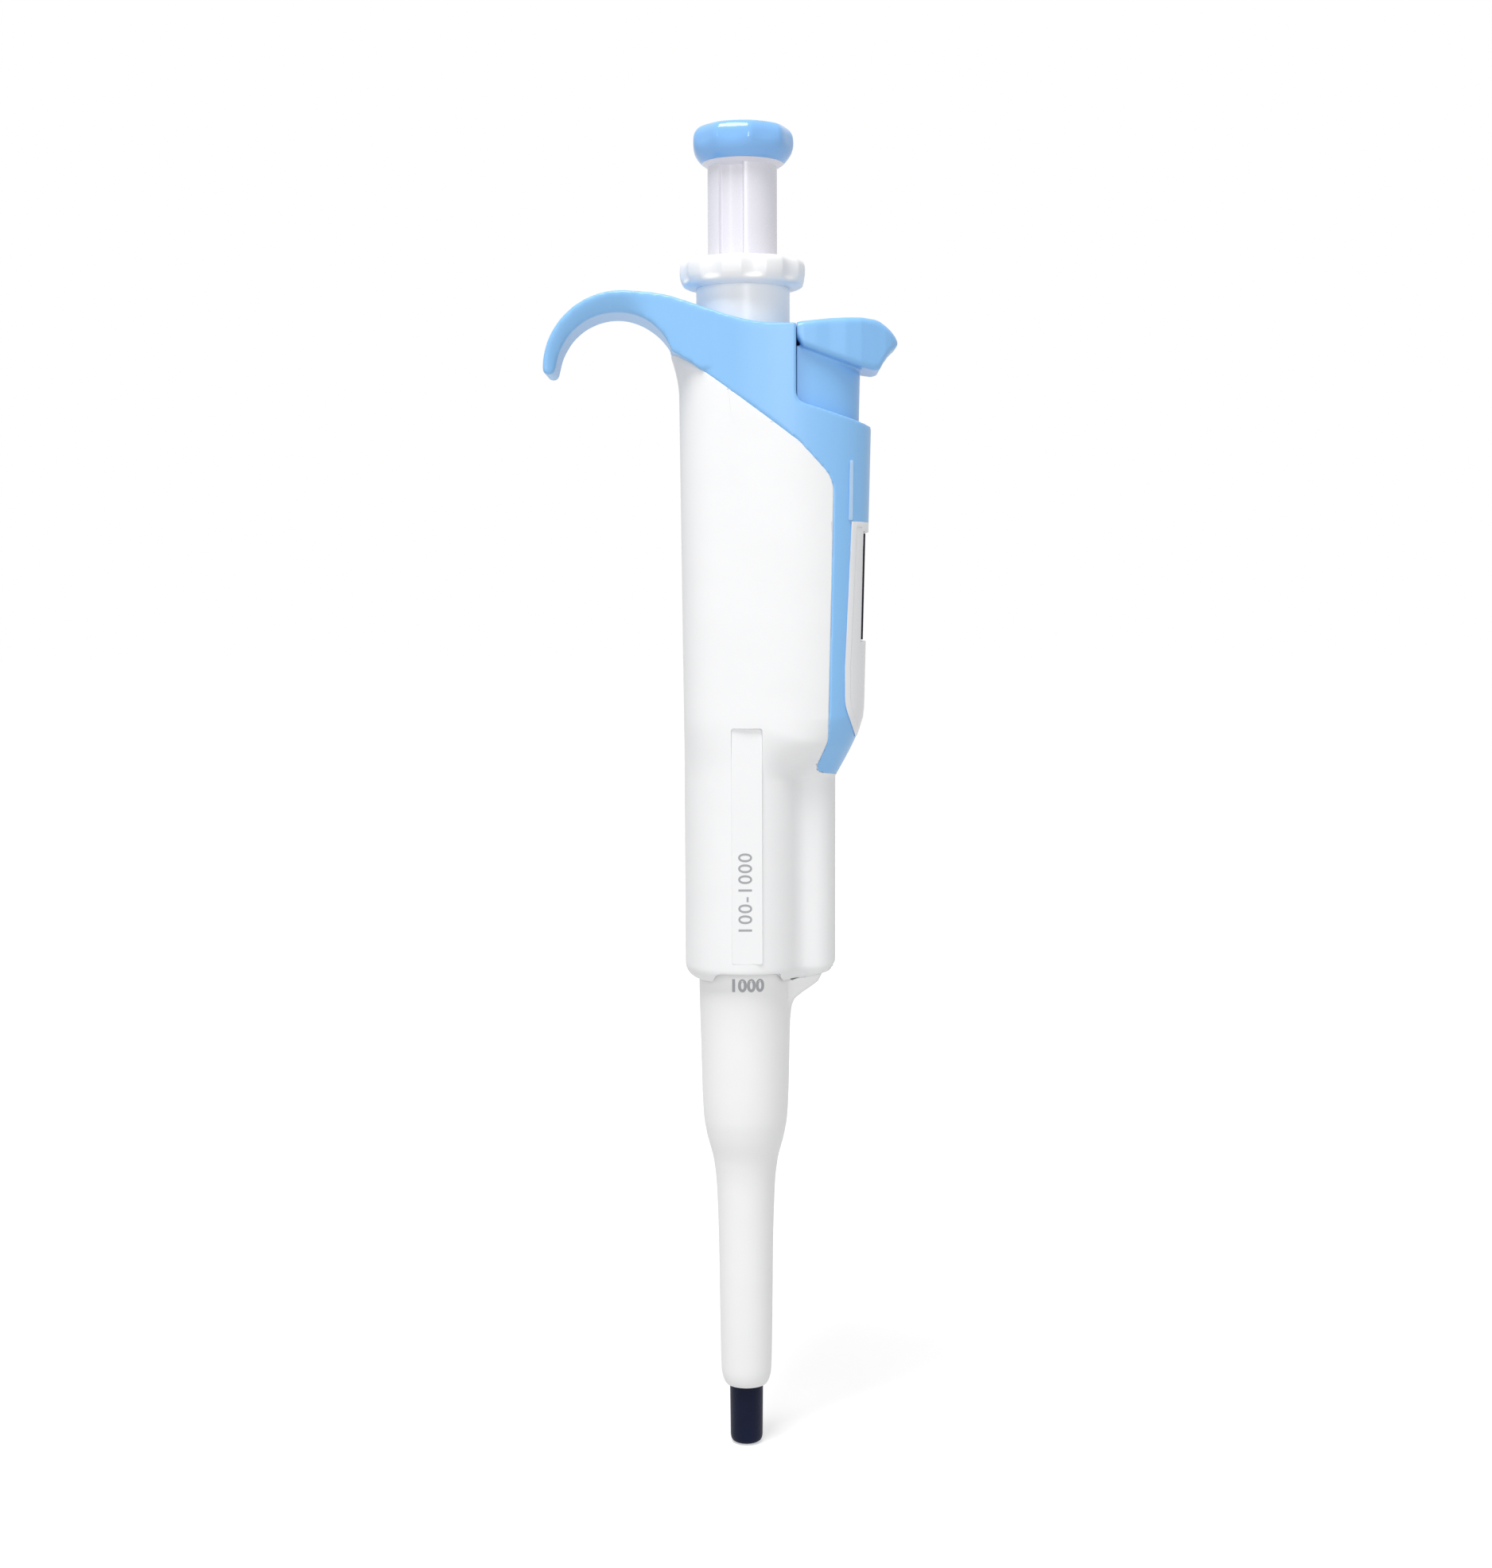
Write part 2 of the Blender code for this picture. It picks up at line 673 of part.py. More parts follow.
def foot_outline():
    """What is cut from the grip's foot, seen from the side: a wave at the label and a rising front."""
    left = LABEL_X - NOTCH_HALF_WIDTH
    right = LABEL_X + NOTCH_HALF_WIDTH
    return filleted([
        (-0.0200, FOOT_Z - 0.0100),
        (-0.0200, FOOT_Z - 0.0002),
        (left - 0.0009, FOOT_Z - 0.0002, NOTCH_ROUNDING),
        (left, FOOT_Z + NOTCH_RISE, NOTCH_ROUNDING),
        (right, FOOT_Z + NOTCH_RISE, NOTCH_ROUNDING),
        (right + 0.0010, FOOT_Z - 0.0002, NOTCH_ROUNDING),
        (CHANNEL_X - 0.0036, FOOT_Z - 0.0002, 0.0020),
        (CHANNEL_X + 0.0034, FOOT_Z + 0.0015, 0.0012),
        (CHANNEL_X + 0.0080, FOOT_Z + 0.0075),
        (CHANNEL_X + 0.0080, FOOT_Z - 0.0100),
    ], 4)


def bezel_space(name):
    return side_prism(name, bezel_outline(GAP), 0.05)


def hook_side():
    """The finger hook seen from the side, with its root inside the body."""
    outline = []
    steps = 14
    centre = Vector((HOOK_CENTRE_X, HOOK_Z))
    for i in range(steps + 1):
        angle = math.radians(179 - i * (179 - 78) / steps)
        spread = 1 + HOOK_SPREAD * i / steps
        outline.append(centre + Vector((math.cos(angle), math.sin(angle))) * HOOK_OUTER_RADIUS * spread)
    outline.append(Vector((-0.0165, BODY_TOP_Z + 0.0057)))
    outline.append(Vector((-0.0133, BODY_TOP_Z + 0.0051)))
    outline.append(Vector((-0.0105, BODY_TOP_Z + 0.0042)))
    outline.append(Vector((-0.0048, BODY_TOP_Z + 0.0021)))
    outline.append(Vector((-0.0048, HOOK_Z + 0.0010)))
    outline.append(Vector((-0.0112, HOOK_Z - 0.0005)))
    for i in range(steps + 1):
        angle = math.radians(8 + i * (167 - 8) / steps)
        outline.append(centre + Vector((math.cos(angle), math.sin(angle))) * HOOK_INNER_RADIUS)
    tip_angle = math.radians(175)
    middle = centre + Vector((math.cos(tip_angle), math.sin(tip_angle))) * (
        (HOOK_INNER_RADIUS + HOOK_OUTER_RADIUS) / 2 + 0.0001
    )
    for i in range(5):
        angle = math.radians(-30 - i * 35)
        outline.append(middle + Vector((math.cos(angle), math.sin(angle))) * HOOK_TIP_RADIUS)
    return outline


def hook_body():
    """The blue upper body with its finger hook and the strip down its front."""
    made = outer_form("hook_body")
    top = filleted([
        (-0.0300, BODY_TOP_Z + 0.0020),
        (-0.0300, BODY_TOP_Z + 0.0100),
        (0.0300, BODY_TOP_Z + 0.0100),
        (0.0300, BODY_TOP_Z),
        (0.0012, BODY_TOP_Z, 0.0300),
        (-0.0100, BODY_TOP_Z + 0.0041),
    ])
    combine(made, side_prism("hook_body_top", top, 0.05), "DIFFERENCE")
    hook = side_prism(
        "finger_hook", hook_side(), 0.02, HOOK_EDGE,
        (-0.0080, HOOK_ROOT_HALF_WIDTH), (HOOK_CENTRE_X - HOOK_OUTER_RADIUS, HOOK_TIP_HALF_WIDTH),
    )
    combine(made, hook, "UNION")
    grip = side_prism("hook_body_parting", parting_outline(GAP), 0.05)
    combine(made, grip, "DIFFERENCE")
    hollow(made)
    pocket = filleted([
        (POCKET_X, BODY_TOP_Z + 0.0100),
        (POCKET_X, RIM_Z + 0.0002, 0.0020),
        (0.0300, RIM_Z - 0.0060),
        (0.0300, BODY_TOP_Z + 0.0100),
    ])
    combine(made, side_prism("ejector_pocket", pocket, 0.05), "DIFFERENCE")
    combine(made, bezel_space("hook_body_bezel_space"), "DIFFERENCE")
    paint(made, *BLUE)
    return made


def window_bezel():
    """The grey frame round the volume window, flush with the body's front."""
    bottom = WINDOW_Z - BEZEL_BELOW
    top = WINDOW_TOP_Z + BEZEL_ABOVE
    made = lofted("window_bezel", [(height, 0) for height in heights(bottom - 0.004, top + 0.002, 6)])
    combine(made, side_prism("bezel_sides", bezel_outline(0), 0.05), "INTERSECT")
    inner = lofted(
        "bezel_inside", [(height, BEZEL_WALL) for height in heights(bottom - 0.003, top + 0.001, 4)]
    )
    low = block("bezel_inside_reach", (0, -0.02, bottom + 0.0030), (0.03, 0.02, top - 0.0010))
    combine(inner, low, "INTERSECT")
    combine(made, inner, "DIFFERENCE")
    seat = block("lens_seat", (lens_seat_x(), -0.02, WINDOW_Z), (0.03, 0.02, WINDOW_TOP_Z))
    combine(made, seat, "DIFFERENCE")
    opening = block(
        "window_opening",
        (0.0100, -WINDOW_HALF_WIDTH, WINDOW_Z + 0.0012),
        (0.0300, WINDOW_HALF_WIDTH, WINDOW_TOP_Z - 0.0012),
    )
    combine(made, opening, "DIFFERENCE")
    paint(made, *GREY)
    return made


def lens_seat_x():
    """The upright flat in the bezel that the lens lies on."""
    return UPPER_FRONT + FRONT_LEAN * (WINDOW_Z - UPPER_Z) - LENS_SEAT_DEPTH


def window_lens():
    """The clear window, curved in front and flat behind, a little below the bezel's face."""
    made = lofted("window_lens", [(WINDOW_Z + GAP, LENS_RECESS), (WINDOW_TOP_Z - GAP, LENS_TOP_RECESS)])
    back = lens_seat_x() + GAP
    reach = block("lens_reach", (back, -0.02, WINDOW_Z - 0.01), (0.03, 0.02, WINDOW_TOP_Z + 0.01))
    combine(made, reach, "INTERSECT")
    paint(made, *SMOKE)
    return made


def label_insert():
    """The thin label seated in the grip's recess."""
    back = LABEL_FACE_Y - LABEL_THICKNESS
    made = block(
        "label_insert",
        (LABEL_X - LABEL_HALF_WIDTH + GAP, -LABEL_FACE_Y, FOOT_Z + LABEL_RISE),
        (LABEL_X + LABEL_HALF_WIDTH - GAP, -back, FOOT_Z + LABEL_RISE + LABEL_LENGTH - GAP),
    )
    paint(made, *PAPER)
    return made


def lobed(radius, valley, crest, share=1.0):
    """Nine lobes with flat crests and rounded valleys between them."""
    pitch = math.tau / LOBES
    flat_part = pitch * 0.19

    def at(angle):
        offset = abs((angle - crest + pitch / 2) % pitch - pitch / 2)
        inward = max(offset - flat_part, 0) / (pitch / 2 - flat_part)
        return radius - valley * share * math.sin(inward * math.pi / 2) ** 2

    return at


def volume_ring():
    """The white dial that sets the volume, with its neck and the keys that turn the stem."""
    rows = []
    edges = (
        (0, 0.0024), (0.10, 0.0008), (0.22, 0.0004), (0.34, 0.0001), (0.60, 0), (0.80, 0.00015),
        (0.94, 0.0005), (1, RING_ROUNDING),
    )
    for share, inset in edges:
        rows.append((RING_Z + RING_HEIGHT * share, lobed(RING_RADIUS - inset, RING_VALLEY, RING_CREST)))
    made = wheel_form("volume_ring", rows, FINE_ROUND)
    neck_step = BODY_TOP_Z - LOWER_NECK_DEPTH
    groove_z = BODY_TOP_Z - O_RING_DROP
    groove = 2 * O_RING_RADIUS + 0.0004
    neck = turned("ring_neck", [
        (0, RING_Z + 0.0010),
        (NECK_RADIUS, RING_Z + 0.0010),
        (NECK_RADIUS, neck_step),
        (LOWER_NECK_RADIUS, neck_step),
        (LOWER_NECK_RADIUS, groove_z + groove / 2),
        (LOWER_NECK_RADIUS - O_RING_GROOVE, groove_z + groove / 2),
        (LOWER_NECK_RADIUS - O_RING_GROOVE, groove_z - groove / 2),
        (LOWER_NECK_RADIUS, groove_z - groove / 2),
        (LOWER_NECK_RADIUS, DIAL_SLEEVE_TOP_Z + GAP),
        (0, DIAL_SLEEVE_TOP_Z + GAP),
    ])
    combine(made, neck, "UNION")
    combine(made, dogs("ring_dogs", 0, 0), "UNION")
    bore = wheel_form(
        "ring_bore",
        [(DIAL_SLEEVE_TOP_Z - 0.004, stem_plan(GAP)), (RING_TOP_Z + 0.001, stem_plan(GAP))],
        FINE_ROUND,
    )
    combine(made, bore, "DIFFERENCE")
    paint(made, *WHITE)
    return made


def dogs(name, grow, drop):
    """Three dogs that couple the ring's neck to the dial sleeve, as one cutter or one tool."""
    top = DIAL_SLEEVE_TOP_Z + GAP + 0.0010
    bottom = DIAL_SLEEVE_TOP_Z - DOG_HEIGHT - drop
    outline = []
    half = math.radians(12) + grow / DIAL_SLEEVE_RADIUS
    for k in range(3):
        middle = GROOVE_START + math.radians(60 + 120 * k)
        for offset, radius in ((-half, 0.0008), (-half, None), (half, None), (half, 0.0008)):
            out = radius if radius else DIAL_SLEEVE_RADIUS + 0.0002 + grow * 4
            outline.append((out * math.cos(middle + offset), out * math.sin(middle + offset)))
    matrix = Matrix.Translation((0, 0, (top + bottom) / 2))
    return flat(name, [outline], top - bottom, matrix)


def stem_plan(grow):
    """The button stem's plan: a circle with three shallow flat-floored grooves."""

    def at(angle):
        offset = abs((angle - GROOVE_START + math.pi / 3) % (math.tau / 3) - math.pi / 3)
        floor = min(max((GROOVE_ANGLE / 2 - offset) / math.radians(4), 0), 1)
        return STEM_RADIUS + grow - GROOVE_DEPTH * floor

    return at


def screw_sleeve():
    """The tube that the dial turns: a cup round the stem, and below it the stop nut's screw."""
    made = turned("screw_sleeve", [
        (STEM_RADIUS + GAP, DIAL_SLEEVE_TOP_Z),
        (DIAL_SLEEVE_RADIUS, DIAL_SLEEVE_TOP_Z),
        (DIAL_SLEEVE_RADIUS, DIAL_SLEEVE_Z),
        (THREAD_RADIUS, DIAL_SLEEVE_Z),
        (THREAD_RADIUS, GEAR_Z - GAP),
        (THREAD_RADIUS - 0.0005, GEAR_Z - GAP),
        (THREAD_RADIUS - 0.0005, CLIP_Z - GAP),
        (THREAD_RADIUS, CLIP_Z - GAP),
        (THREAD_RADIUS, THREAD_END_Z),
        (ROD_RADIUS + GAP, THREAD_END_Z),
        (ROD_RADIUS + GAP, STEM_FLOOR_Z),
        (STEM_RADIUS + GAP, STEM_FLOOR_Z),
    ])
    combine(made, dogs("sleeve_notches", GAP, GAP), "DIFFERENCE")
    paint(made, *STEEL)
    return made


def dial_o_ring():
    """The rubber ring that makes the dial turn stiffly."""
    centre = LOWER_NECK_RADIUS - O_RING_GROOVE + GAP + O_RING_RADIUS
    height = BODY_TOP_Z - O_RING_DROP
    profile = []
    for i in range(8):
        angle = math.radians(90 - 45 * i)
        profile.append((centre + O_RING_RADIUS * math.cos(angle), height + O_RING_RADIUS * math.sin(angle)))
    made = turned("dial_o_ring", profile, ROUND)
    paint(made, *RUBBER)
    return made


def gear(name, teeth, bore, bottom, x=0.0, phase=0.0):
    """A spur gear with straight-sided teeth and a little backlash."""
    pitch = GEAR_MODULE * teeth / 2
    rim = pitch + GEAR_MODULE * 0.75
    root = pitch - GEAR_MODULE * 1.25
    tooth = math.tau / teeth
    outline = []
    for k in range(teeth):
        middle = k * tooth + phase
        for share, radius in ((-0.30, root), (-0.10, rim), (0.10, rim), (0.30, root)):
            angle = middle + share * tooth
            outline.append((radius * math.cos(angle), radius * math.sin(angle)))
    hole = [
        (bore * math.cos(math.tau * i / ROUND), bore * math.sin(math.tau * i / ROUND)) for i in range(ROUND)
    ]
    made = flat(name, [outline, hole], GEAR_HEIGHT)
    made.location = (x, 0, bottom + GEAR_HEIGHT / 2)
    return made


def dial_gear():
    made = gear("dial_gear", DIAL_TEETH, THREAD_RADIUS + GAP, GEAR_Z)
    paint(made, *ACETAL)
    return made


def counter_gear():
    """Driven by the dial gear; it turns the counter shaft and the units wheel."""
    made = gear(
        "counter_gear", COUNTER_TEETH, SHAFT_RADIUS + GAP, GEAR_Z, COUNTER_X, math.pi / COUNTER_TEETH * 2
    )
    paint(made, *ACETAL)
    return made


def sleeve_clip():
    """The spring clip under the dial gear."""
    made = ring("sleeve_clip", THREAD_RADIUS - 0.0005 + GAP, THREAD_RADIUS + 0.0011, CLIP_Z, CLIP_THICKNESS)
    slot = block("clip_slot", (-0.02, -0.0012, CLIP_Z - 0.001), (0, 0.0012, CLIP_Z + 0.002))
    combine(made, slot, "DIFFERENCE")
    paint(made, *STEEL)
    return made


def counter_shaft():
    made = rod(
        "counter_shaft", SHAFT_RADIUS, BRACKET_Z + GAP, PLATE_Z + PLATE_THICKNESS - GAP, x=COUNTER_X
    )
    paint(made, *STEEL)
    return made


def number_wheel(index):
    """One drum of the counter, hollow on its upper face."""
    bottom = STACK_TOP_Z - (index + 1) * WHEEL_PITCH + GAP
    top = bottom + WHEEL_HEIGHT
    bore = SHAFT_RADIUS + GAP
    hub = bore + 0.0008
    rim = WHEEL_RADIUS - 0.0008
    web = WHEEL_HEIGHT * 0.3
    made = turned("number_wheel_" + WHEELS[index], [
        (bore, top),
        (hub, top),
        (hub, top - web),
        (rim, top - web),
        (rim, top),
        (WHEEL_RADIUS, top),
        (WHEEL_RADIUS, bottom),
        (bore, bottom),
    ], 20, COUNTER_X)
    paint(made, *WHITE)
    return made


def frame_plate(name, bottom, holes, bore):
    """A plate across the body that carries the mechanism."""
    edge = WALL + GAP
    made = lofted(name, [(bottom, edge), (bottom + PLATE_THICKNESS, edge)])
    low = bottom - 0.001
    high = bottom + PLATE_THICKNESS + 0.001
    combine(made, rod(name + "_bore", bore, low, high, ROUND), "DIFFERENCE")
    for index, (x, y, radius) in enumerate(holes):
        combine(made, rod(f"{name}_hole_{index}", radius, low, high, x=x, y=y), "DIFFERENCE")
    paint(made, *ACETAL)
    return made


def bearing_plate():
    """The upper plate: the dial's bearing and the counter's top pivot."""
    holes = [
        (COUNTER_X, 0, SHAFT_RADIUS + GAP),
        (EJECTOR_RUN_X, EJECTOR_RUN_Y, EJECTOR_ROD_RADIUS + GAP),
    ]
    return frame_plate("bearing_plate", PLATE_Z, holes, THREAD_RADIUS + GAP)


def counter_bracket():
    """The lower plate: it holds the nut guide and the counter's bottom pivot."""
    holes = [
        (COUNTER_X, 0, SHAFT_RADIUS + GAP),
        (EJECTOR_RUN_X, EJECTOR_RUN_Y, EJECTOR_ROD_RADIUS + GAP),
    ]
    made = frame_plate("counter_bracket", BRACKET_Z, holes, guide_radius() + GAP)
    front = block(
        "bracket_front",
        (BEZEL_SIDE_X - 2 * GAP, -0.02, BRACKET_Z - 0.001),
        (0.03, 0.02, BRACKET_Z + PLATE_THICKNESS + 0.001),
    )
    combine(made, front, "DIFFERENCE")
    return made


def guide_radius():
    return NUT_RADIUS + GAP + GUIDE_WALL


def nut_guide():
    """The fixed tube whose two slots keep the stop nut from turning."""
    outer = guide_radius()
    foot = GUIDE_Z + 0.0014
    made = turned("nut_guide", [
        (NUT_RADIUS + GAP, GUIDE_TOP_Z),
        (outer, GUIDE_TOP_Z),
        (outer, foot),
        (GUIDE_FOOT_RADIUS, foot),
        (GUIDE_FOOT_RADIUS, GUIDE_Z),
        (NUT_RADIUS + GAP, GUIDE_Z),
    ])
    half = NUT_KEY_WIDTH / 2 + GAP
    slot = block(
        "guide_slots",
        (-half, -outer - 0.001, NUT_TOP_Z - NUT_TRAVEL - NUT_THREAD - 0.001),
        (half, outer + 0.001, NUT_TOP_Z + 0.0005),
    )
    combine(made, slot, "DIFFERENCE")
    paint(made, *ACETAL)
    return made


def stop_nut():
    """The nut that the screw sleeve drives; its floor is the plunger's upper stop."""
    thread = THREAD_RADIUS + GAP
    made = turned("stop_nut", [
        (thread, NUT_TOP_Z),
        (NUT_RADIUS, NUT_TOP_Z),
        (NUT_RADIUS, NUT_Z),
        (COLLAR_RADIUS + GAP, NUT_Z),
        (COLLAR_RADIUS + GAP, NUT_Z + NUT_FLOOR),
        (thread, NUT_Z + NUT_FLOOR),
    ])
    half = NUT_KEY_WIDTH / 2
    for side in (-1, 1):
        ends = sorted((side * (thread + 0.0003), side * (guide_radius() - 0.0002)))
        key = block(
            f"nut_key_{side}", (-half, ends[0], NUT_TOP_Z - NUT_THREAD), (half, ends[1], NUT_TOP_Z - 0.0003)
        )
        combine(made, key, "UNION")
    paint(made, *STEEL)
    return made


def button_cap():
    """The blue operating button: shallow scallops round its rim, and a rounded chamfer below it."""
    def at(radius, share):
        return lobed(radius, CAP_SCALLOP, CAP_CREST, share)

    widest = CAP_Z + CAP_CHAMFER
    rows = [
        (CAP_Z + GAP, at(CAP_NECK_RADIUS, 0)),
        (CAP_Z + CAP_CHAMFER * 0.28, at(CAP_RADIUS - 0.0009, 0.2)),
        (CAP_Z + CAP_CHAMFER * 0.62, at(CAP_RADIUS - 0.0002, 0.5)),
        (widest, at(CAP_RADIUS, 0.8)),
        (TOP_Z - 0.0017, at(CAP_RADIUS - 0.0001, 1)),
        (TOP_Z - 0.0009, at(CAP_RADIUS - 0.0004, 1)),
        (TOP_Z - 0.0003, at(CAP_TOP_RADIUS + 0.0005, 0.7)),
        (TOP_Z, at(CAP_TOP_RADIUS, 0.3)),
    ]
    made = wheel_form("button_cap", rows, FINE_ROUND)
    dish = turned("cap_dish", [
        (0, TOP_Z + 0.001),
        (CAP_TOP_RADIUS - 0.0018, TOP_Z + 0.001),
        (CAP_TOP_RADIUS - 0.0024, TOP_Z - CAP_DISH * 0.8),
        (0, TOP_Z - CAP_DISH),
    ])
    combine(made, dish, "DIFFERENCE")
    socket = rod(
        "cap_socket", SPIGOT_RADIUS + GAP, CAP_Z - 0.001, CAP_Z + SPIGOT_HEIGHT + GAP, SMALL_ROUND
    )
    combine(made, socket, "DIFFERENCE")
    paint(made, *BLUE)
    return made


def button_stem():
    """The pale grooved stem between the button and the plunger rod, flanged under the button."""
    flange = CAP_Z - FLANGE_HEIGHT
    plain = stem_plan(0)

    def round_plan(angle):
        return STEM_RADIUS

    def flange_plan(angle):
        return FLANGE_RADIUS

    rows = [(STEM_END_Z, plain), (flange - 0.0004, plain), (flange, round_plan), (CAP_Z, flange_plan)]
    made = wheel_form("button_stem", rows, FINE_ROUND)
    combine(made, rod("stem_spigot", SPIGOT_RADIUS, CAP_Z - 0.001, CAP_Z + SPIGOT_HEIGHT), "UNION")
    socket = rod("stem_socket", ROD_RADIUS + GAP, STEM_END_Z - 0.001, STEM_END_Z + ROD_SOCKET)
    combine(made, socket, "DIFFERENCE")
    paint(made, *LAVENDER)
    return made


def plunger_rod():
    made = rod("plunger_rod", ROD_RADIUS, HEAD_TOP_Z - 0.0011, STEM_END_Z + ROD_SOCKET - GAP)
    paint(made, *STEEL)
    return made


def stop_collar():
    """The collar on the plunger rod that rises against the stop nut."""
    top = NUT_Z - GAP
    made = ring("stop_collar", ROD_RADIUS + GAP, COLLAR_RADIUS, top - COLLAR_HEIGHT, COLLAR_HEIGHT)
    paint(made, *STEEL)
    return made


def piston_head():
    """The disc that both springs push up, socketed for the rod above and the piston below."""
    upper = ROD_RADIUS + GAP
    lower = PISTON_TAIL_RADIUS + GAP
    made = turned("piston_head", [
        (0, HEAD_TOP_Z - 0.0014),
        (upper, HEAD_TOP_Z - 0.0014),
        (upper, HEAD_TOP_Z),
        (HEAD_RADIUS - 0.0020, HEAD_TOP_Z),
        (HEAD_RADIUS, HEAD_TOP_Z - 0.0010),
        (HEAD_RADIUS, HEAD_Z),
        (lower, HEAD_Z),
        (lower, HEAD_Z + 0.0010),
        (0, HEAD_Z + 0.0010),
    ])
    paint(made, *NAVY)
    return made


def piston():
    """The polished piston and the thinner tail that joins it to its head."""
    shoulder = PISTON_Z + PISTON_LENGTH
    made = turned("piston", [
        (0, HEAD_Z + 0.0010 - GAP),
        (PISTON_TAIL_RADIUS, HEAD_Z + 0.0010 - GAP),
        (PISTON_TAIL_RADIUS, shoulder + 0.0012),
        (PISTON_RADIUS, shoulder),
        (PISTON_RADIUS, PISTON_Z + 0.0006),
        (PISTON_RADIUS - 0.0006, PISTON_Z),
        (0, PISTON_Z),
    ])
    paint(made, *CERAMIC)
    return made


def lower_housing():
    """The navy lower part: the nozzle, the cylinder and the neck that passes into the grip."""
    floor = CYLINDER_FLOOR_Z
    bore = PISTON_RADIUS + GAP
    middle = floor - 0.0110
    made = turned("lower_housing", [
        (SEAL_POCKET_RADIUS, HOUSING_TOP_Z),
        (HOUSING_NECK_RADIUS, HOUSING_TOP_Z),
        (HOUSING_NECK_RADIUS, WEB_Z - GAP),
        (SHOULDER_RADIUS, WEB_Z - GAP),
        (SHOULDER_RADIUS, WEB_Z - GAP - SHOULDER_DEPTH),
        (CYLINDER_RADIUS, WEB_Z - GAP - SHOULDER_DEPTH),
        (CYLINDER_RADIUS, floor),
        (CYLINDER_RADIUS - 0.0022, middle),
        (NOSE_RADIUS + 0.0006, SLEEVE_Z + 0.0160),
        (NOSE_RADIUS + 0.0001, SLEEVE_Z),
        (NOSE_RADIUS, 0.0013),
        (NOSE_RADIUS - 0.0003, 0.0004),
        (NOSE_RADIUS - 0.0008, 0),
        (NOSE_BORE, 0),
        (NOSE_BORE, floor - 0.0030),
        (bore, floor),
        (bore, SEAL_POCKET_Z),
        (SEAL_POCKET_RADIUS, SEAL_POCKET_Z),
    ])
    paint(made, *NAVY)
    return made


def piston_seal():
    made = ring(
        "piston_seal", PISTON_RADIUS + GAP, SEAL_POCKET_RADIUS - GAP, SEAL_POCKET_Z + GAP, SEAL_HEIGHT
    )
    paint(made, *RUBBER)
    return made


def seal_holder():
    bottom = SEAL_POCKET_Z + SEAL_HEIGHT + 2 * GAP
    made = ring(
        "seal_holder", PISTON_RADIUS + GAP, SEAL_POCKET_RADIUS - GAP, bottom, HOUSING_TOP_Z - bottom
    )
    paint(made, *ACETAL)
    return made


def coupling_nut():
    """The nut that holds the lower housing to the grip's web."""
    made = ring(
        "coupling_nut", HOUSING_NECK_RADIUS + GAP, COUPLING_RADIUS, COUPLING_Z, COUPLING_HEIGHT
    )
    for k in range(4):
        tool = block(
            f"coupling_slot_{k}",
            (0.0080, -0.0010, COUPLING_Z + 0.0018),
            (0.0200, 0.0010, COUPLING_Z + 0.0100),
        )
        tool.rotation_euler = (0, 0, math.radians(45 + 90 * k))
        combine(made, tool, "DIFFERENCE")
    paint(made, *NAVY)
    return made


def spring_seat():
    made = ring("spring_seat", PISTON_RADIUS + GAP, COUPLING_RADIUS, SEAT_Z, WASHER_THICKNESS)
    paint(made, *STEEL)
    return made


def blow_out_washer():
    """The second stop: the piston head lands on it and presses the blow-out spring."""
    inner = PRIMARY_RADIUS + PRIMARY_WIRE + 2 * GAP
    made = ring("blow_out_washer", inner, COUPLING_RADIUS, BLOW_OUT_Z, WASHER_THICKNESS)
    paint(made, *STEEL)
    return made


def sleeve_outside():
    """The ejector sleeve's outer profile as radii and heights, from its top down."""
    top = FOOT_Z + SLEEVE_OVERLAP
    knee = FOOT_Z - 0.0260
    return [
        (SLEEVE_RADIUS, top),
        (SLEEVE_RADIUS, FOOT_Z),
        (SLEEVE_RADIUS - 0.0005, knee + 0.0045),
        (SLEEVE_RADIUS - 0.00075, knee),
        (SLEEVE_RADIUS - 0.0013, knee - 0.0033),
        (SLEEVE_RADIUS - 0.00255, knee - 0.0083),
        (SLEEVE_RADIUS - 0.00305, knee - 0.0130),
        (SLEEVE_RADIUS - 0.0034, knee - 0.0235),
        (SLEEVE_RADIUS - 0.0038, SLEEVE_Z + 0.0028),
        (SLEEVE_RADIUS - 0.00415, SLEEVE_Z + 0.0011),
        (SLEEVE_RADIUS - 0.0046, SLEEVE_Z + 0.0002),
    ]


